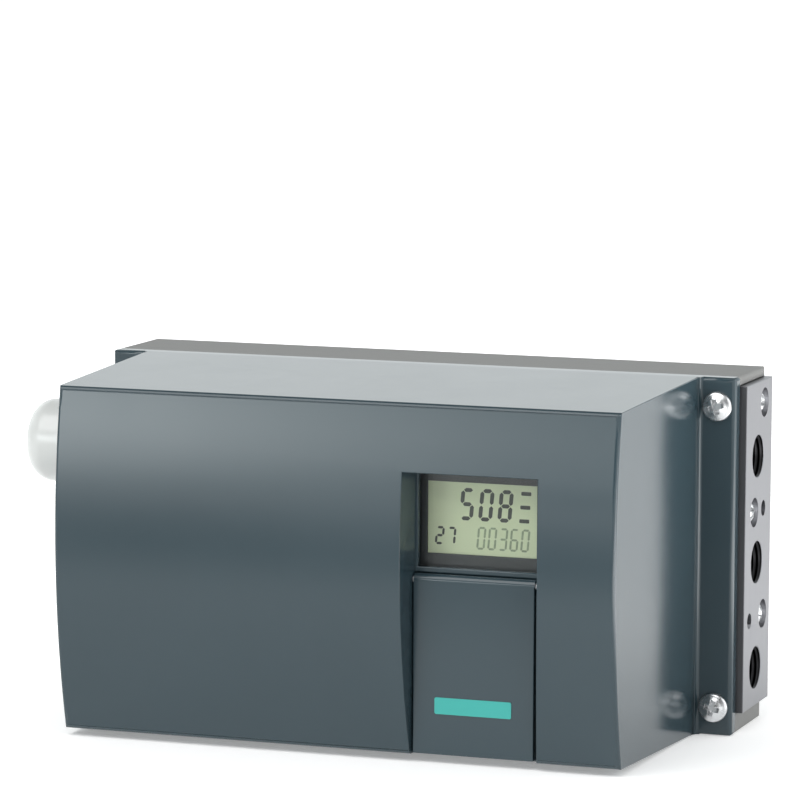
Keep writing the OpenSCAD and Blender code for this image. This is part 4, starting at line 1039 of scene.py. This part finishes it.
class POSITIONER_OT_display(bpy.types.Operator):
    """Finishes the window and the display, and writes plain numbers on it"""

    bl_idname = "positioner.display"
    bl_label = "Finish the display"

    def execute(self, context):
        looks = context.scene.positioner_display
        dress("lcd_frame", "display_bezel", 0.15 * MM, "housing", plastic("display_frame"), "lcd_dark")
        wear(["lcd_panel"], display_face("display_face", looks.face))
        wear(["display_window"], clear_pane("window_clear", (0.97, 0.985, 0.98)))
        low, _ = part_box("lcd_frame")
        corner = (low.x + FRAME_WALL, low.z + FRAME_WALL)
        levels = print_levels("lcd_panel", 0.04 * MM)
        bold = self.bold_rows(looks, corner, levels)
        settle(bold, "housing", display_ink("display_ink", looks.ink), "lcd_face")
        pale = self.pale_row(looks, corner, levels)
        settle(pale, "housing", display_ink("display_pale_ink", looks.pale_ink), "lcd_face")
        return {"FINISHED"}

    @staticmethod
    def bold_rows(looks, corner, levels):
        """Large row with its bars, and the small row at the lower left."""
        sheet = bmesh.new()
        write_digits(sheet, looks.upper, UPPER_ROW, corner, levels)
        width, height = (size * MM for size in BARS["size"])
        for bar in range(BARS["count"]):
            x, z = (first + step * bar for first, step in zip(BARS["first"], BARS["step"]))
            centre = (corner[0] + x * MM, corner[1] + z * MM)
            prism(sheet, rounded_outline(centre, width, height, BARS["radius"] * MM, 2), *levels)
        write_digits(sheet, looks.left, LEFT_ROW, corner, levels)
        return link("display_bold_digits", closed_mesh("display_bold_digits", sheet))

    @staticmethod
    def pale_row(looks, corner, levels):
        """Row of pale digits at the lower right."""
        sheet = bmesh.new()
        write_digits(sheet, looks.right, RIGHT_ROW, corner, levels)
        return link("display_pale_digits", closed_mesh("display_pale_digits", sheet))


class POSITIONER_OT_keys(bpy.types.Operator):
    """Finishes the three keys and marks them with a dot and two arrows"""

    bl_idname = "positioner.keys"
    bl_label = "Finish the keys"

    def execute(self, context):
        grey, white = plastic("key_grey"), plastic("key_print")
        dot, half, tail, tip = 2.6 * MM, 1.7 * MM, 1.1 * MM, 1.6 * MM
        outlines = {
            "hand_key": rounded_outline((0, 0), dot, dot, 1.29 * MM),
            "down_key": [(-half, tail), (0, -tip), (half, tail)],
            "up_key": [(-half, -tail), (half, -tail), (0, tip)],
        }
        for node, outline in outlines.items():
            low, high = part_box(node)
            dress(node, node + "_cap", 0.4 * MM, node, grey, "key_grey", segments=3)
            x, z = (low.x + high.x) / 2, (low.z + high.z) / 2
            sheet = bmesh.new()
            prism(sheet, [(x + u, z + v) for u, v in outline], *print_levels(node, 0.05 * MM))
            settle(link(node + "_mark", closed_mesh(node + "_mark", sheet)), node, white, "key_grey")
        return {"FINISHED"}


class POSITIONER_OT_screws(bpy.types.Operator):
    """Sets the cover screws and the plate screws, with threads and cross recesses"""

    bl_idname = "positioner.screws"
    bl_label = "Set the screws"

    def execute(self, context):
        steel = bright_steel("screw_steel", (0.74, 0.75, 0.76))
        tree = screw_tree()
        self.cover_screws(tree, steel)
        self.plate_screws(tree, steel)
        wear(["board_screws", "terminal_screws", "bridge_screws"], steel)
        return {"FINISHED"}

    @staticmethod
    def cover_screws(tree, steel):
        """Four screws in the ears, heads to the front."""
        boxes = screw_places("cover_screws")
        low, high = boxes[0]
        seat = low.y + HEAD_HEIGHT
        head = pan_head("cover_screw_head", (high.x - low.x) / 2, HEAD_HEIGHT)
        places = [((lo.x + hi.x) / 2, seat, (lo.z + hi.z) / 2) for lo, hi in boxes]
        turns = [0.35 + 0.5 * i for i in range(len(places))]
        tilt = (math.pi / 2, 0, 0)
        piece = screw_set("cover_screw_set", tree, head, places, turns, high.y - seat, tilt, steel)
        bpy.data.objects.remove(head)
        settle(piece, "housing", steel, "screw_steel", "cover_screws")

    @staticmethod
    def plate_screws(tree, steel):
        """Three screws in the connection plate, heads to the right: one short, two long."""
        boxes = screw_places("plate_screws")
        head = pan_head("plate_screw_head", (boxes[0][1].y - boxes[0][0].y) / 2, HEAD_HEIGHT)
        tilt = (0, math.pi / 2, 0)
        pieces = []
        for i, (low, high) in enumerate(boxes):
            name, turns = f"plate_screw_{i}", [0.3 + 0.6 * i]
            seat = high.x - HEAD_HEIGHT
            places = [(seat, (low.y + high.y) / 2, (low.z + high.z) / 2)]
            pieces.append(screw_set(name, tree, head, places, turns, seat - low.x, tilt, steel))
        bpy.data.objects.remove(head)
        piece = joined("plate_screw_set", pieces)
        settle(piece, "housing", steel, "screw_steel", "plate_screws")


class POSITIONER_OT_air(bpy.types.Operator):
    """Finishes the connection block, the restrictors, the pneumatic block and the turned metal pieces"""

    bl_idname = "positioner.air"
    bl_label = "Finish the air side"

    def execute(self, context):
        mounts = {m["name"]: m for m in frame["record"]["mounts"]}
        upper, middle = mounts["outlet_port_y1"], mounts["supply_port"]
        ports = {
            "y": middle["pos_m"][1], "z": middle["pos_m"][2], "pitch": upper["pos_m"][2] - middle["pos_m"][2],
            "r": middle["dims"]["r_mm"] * MM, "front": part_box("connection_block")[0].y,
        }
        metal = anodised_block("block_metal", (0.255, 0.257, 0.273), ports)
        dress("connection_block", "connection_body", 0.3 * MM, "housing", metal, "block_metal")
        wear(["bearing_bridge"], turned_metal("bridge_metal"))
        wear(["display_spacers", "shaft_bush"], turned_metal("brass"))
        wear(["restrictor_y1", "restrictor_y2"], turned_metal("restrictor_black"))
        wear(["exhaust_silencer"], turned_metal("silencer_brass"))
        wear(["pneumatic_block"], plastic("valve_dark"))
        return {"FINISHED"}


class POSITIONER_OT_entries(bpy.types.Operator):
    """Finishes the cable gland and the blanking plug"""

    bl_idname = "positioner.entries"
    bl_label = "Finish the cable entries"

    def execute(self, context):
        white, dark = plastic("gland_white", coat=0.3), plastic("plug_dark")
        dress("gland_nut", "gland_dome", 0.15 * MM, "housing", white, "gland_white")
        dress("gland_body", "gland_hexagon", 0.3 * MM, "housing", white, "gland_white")
        dress("gland_plug", "gland_dust_plug", 0.2 * MM, "housing", white, "gland_white")
        dress("blanking_plug", "blanking_cap", 0.25 * MM, "housing", dark, "plug_dark")
        wear(["vent_filters"], dark)
        return {"FINISHED"}


class POSITIONER_OT_inside(bpy.types.Operator):
    """Finishes the boards, the pick-up drive and the seals"""

    bl_idname = "positioner.inside"
    bl_label = "Finish the inside"

    def execute(self, context):
        rubber = seal_rubber("rubber", (0.012, 0.012, 0.012))
        wear(["cover_gasket", "port_seals", "gland_insert", "entry_seals", "shaft_seal"], rubber)
        wear(["main_board", "display_board"], circuit_board("board", (0.02, 0.11, 0.05)))
        wear(["board_parts", "key_switches", "pilot_valve"], plastic("chip_black"))
        wear(["terminal_block"], plastic("terminal_grey"))
        steel = turned_metal("shaft_steel")
        wear(["shaft_clip", "flap_hinge_pin"], steel)
        dress("feedback_shaft", "feedback_axle", 0.15 * MM, "feedback_shaft", steel, "shaft_steel")
        wear(["drive_gear", "pot_pinion"], plastic("gear_ivory"))
        wear(["clutch_wheel"], plastic("clutch_yellow"))
        wear(["potentiometer"], plastic("pot_blue"))
        return {"FINISHED"}


class POSITIONER_OT_stage(bpy.types.Operator):
    """Builds the paper floor, the soft lights and the camera"""

    bl_idname = "positioner.stage"
    bl_label = "Set the stage"

    def execute(self, context):
        looks = context.scene.positioner_stage
        self.floor(looks)
        self.sky(context, looks)
        middle = (CAD_BOX[0] + CAD_BOX[1]) / 2
        for name, setup in SOFTBOXES.items():
            self.softbox(name, middle, *setup)
        self.camera(context, looks)
        context.scene.view_settings.view_transform = "Standard"
        return {"FINISHED"}

    @staticmethod
    def floor(looks):
        """Wide sheet of paper under the part's lowest point."""
        half, count, gap = 12.0, 12, 0.05 * MM
        sheet = bmesh.new()
        bmesh.ops.create_grid(sheet, x_segments=count, y_segments=count, size=half)
        bmesh.ops.translate(sheet, verts=sheet.verts, vec=(0, 0, CAD_BOX[0].z - gap))
        floor = link("paper_floor", closed_mesh("paper_floor", sheet))
        floor.data.materials.append(studio_floor("paper", looks.floor, looks.glow))

    @staticmethod
    def sky(context, looks):
        """White backdrop behind the part, a low soft light at its front left, and a dim room.

        The limits are components of the direction, from -1 to 1.
        """
        graph = Surroundings("Studio")
        x, y, z = graph.axes()
        rear = y.between(-0.35, 0.45) * (1 - z.between(0.45, 0.85))
        low = z.between(-0.1, 0.15) * (1 - z.between(0.2, 0.34))
        left = 0.28 * (1 - x.between(-0.15, 0.1)) + (1 - x.between(-0.46, -0.28)) * x.between(-0.72, -0.55)
        front = (1 - y.between(-0.65, -0.4)) * low * left
        strength = looks.room + (looks.backdrop - looks.room) * rear + looks.sheen * front
        graph.close(graph.node("ShaderNodeBackground", None, {"Color": looks.light, "Strength": strength}))
        context.scene.world = graph.world

    @staticmethod
    def outward(turn, rise):
        """Direction from the part to a place round it; azimuth 0 is the front."""
        level = math.cos(rise)
        return Vector((math.sin(turn) * level, -math.cos(turn) * level, math.sin(rise)))

    def softbox(self, name, target, azimuth, elevation, distance, size, power):
        """Soft light that faces its target."""
        out = self.outward(math.radians(azimuth), math.radians(elevation))
        lamp = bpy.data.lights.new(name, "AREA")
        lamp.shape = "RECTANGLE"
        lamp.size, lamp.size_y = size
        lamp.energy = power
        light = bpy.data.objects.new(name, lamp)
        light.location = target + out * distance
        light.rotation_euler = (-out).to_track_quat("-Z", "Y").to_euler()
        bpy.context.scene.collection.objects.link(light)

    def camera(self, context, looks):
        """Camera at the photograph's angle."""
        lens = bpy.data.cameras.new("Camera")
        lens.sensor_width = 36.0
        lens.lens = lens.sensor_width / 2 / math.tan(looks.view / 2)
        lens.clip_start, lens.clip_end = 0.05, 60.0
        camera = bpy.data.objects.new("Camera", lens)
        back = self.outward(looks.azimuth, looks.elevation)
        aim = (-back).to_track_quat("-Z", "Y").to_matrix().to_4x4()
        place = Matrix.Translation(Vector(looks.target) + back * looks.distance)
        camera.matrix_world = place @ aim @ Matrix.Rotation(looks.roll, 4, "Z")
        context.scene.collection.objects.link(camera)
        context.scene.camera = camera


class POSITIONER_PT_finish(bpy.types.Panel):
    """Lists the settings and the steps of the finish"""

    bl_idname = "POSITIONER_PT_finish"
    bl_label = "Valve positioner"
    bl_space_type = "VIEW_3D"
    bl_region_type = "UI"
    bl_category = "Positioner"

    def draw(self, context):
        for group, _ in GROUPS:
            box = self.layout.box()
            settings = getattr(context.scene, group)
            for name in settings.bl_rna.properties.keys():
                if name not in ("rna_type", "name"):
                    box.prop(settings, name)
        for step in STEPS:
            self.layout.operator(step.bl_idname)


GROUPS = (
    ("positioner_shell", ShellLooks),
    ("positioner_plate", PlateLooks),
    ("positioner_display", DisplayLooks),
    ("positioner_stage", StageLooks),
)
STEPS = (
    POSITIONER_OT_shell,
    POSITIONER_OT_plate,
    POSITIONER_OT_display,
    POSITIONER_OT_keys,
    POSITIONER_OT_screws,
    POSITIONER_OT_air,
    POSITIONER_OT_entries,
    POSITIONER_OT_inside,
    POSITIONER_OT_stage,
)


def register():
    """Registers the settings, the steps and the panel."""
    for name, group in GROUPS:
        bpy.utils.register_class(group)
        setattr(bpy.types.Scene, name, bpy.props.PointerProperty(type=group))
    for step in STEPS:
        bpy.utils.register_class(step)
    bpy.utils.register_class(POSITIONER_PT_finish)


def unregister():
    """Removes what register added."""
    bpy.utils.unregister_class(POSITIONER_PT_finish)
    for step in reversed(STEPS):
        bpy.utils.unregister_class(step)
    for name, group in reversed(GROUPS):
        delattr(bpy.types.Scene, name)
        bpy.utils.unregister_class(group)


def main():
    """Runs every step."""
    register()
    for step in STEPS:
        family, name = step.bl_idname.split(".")
        getattr(getattr(bpy.ops, family), name)()


if __name__ == "__main__":
    main()
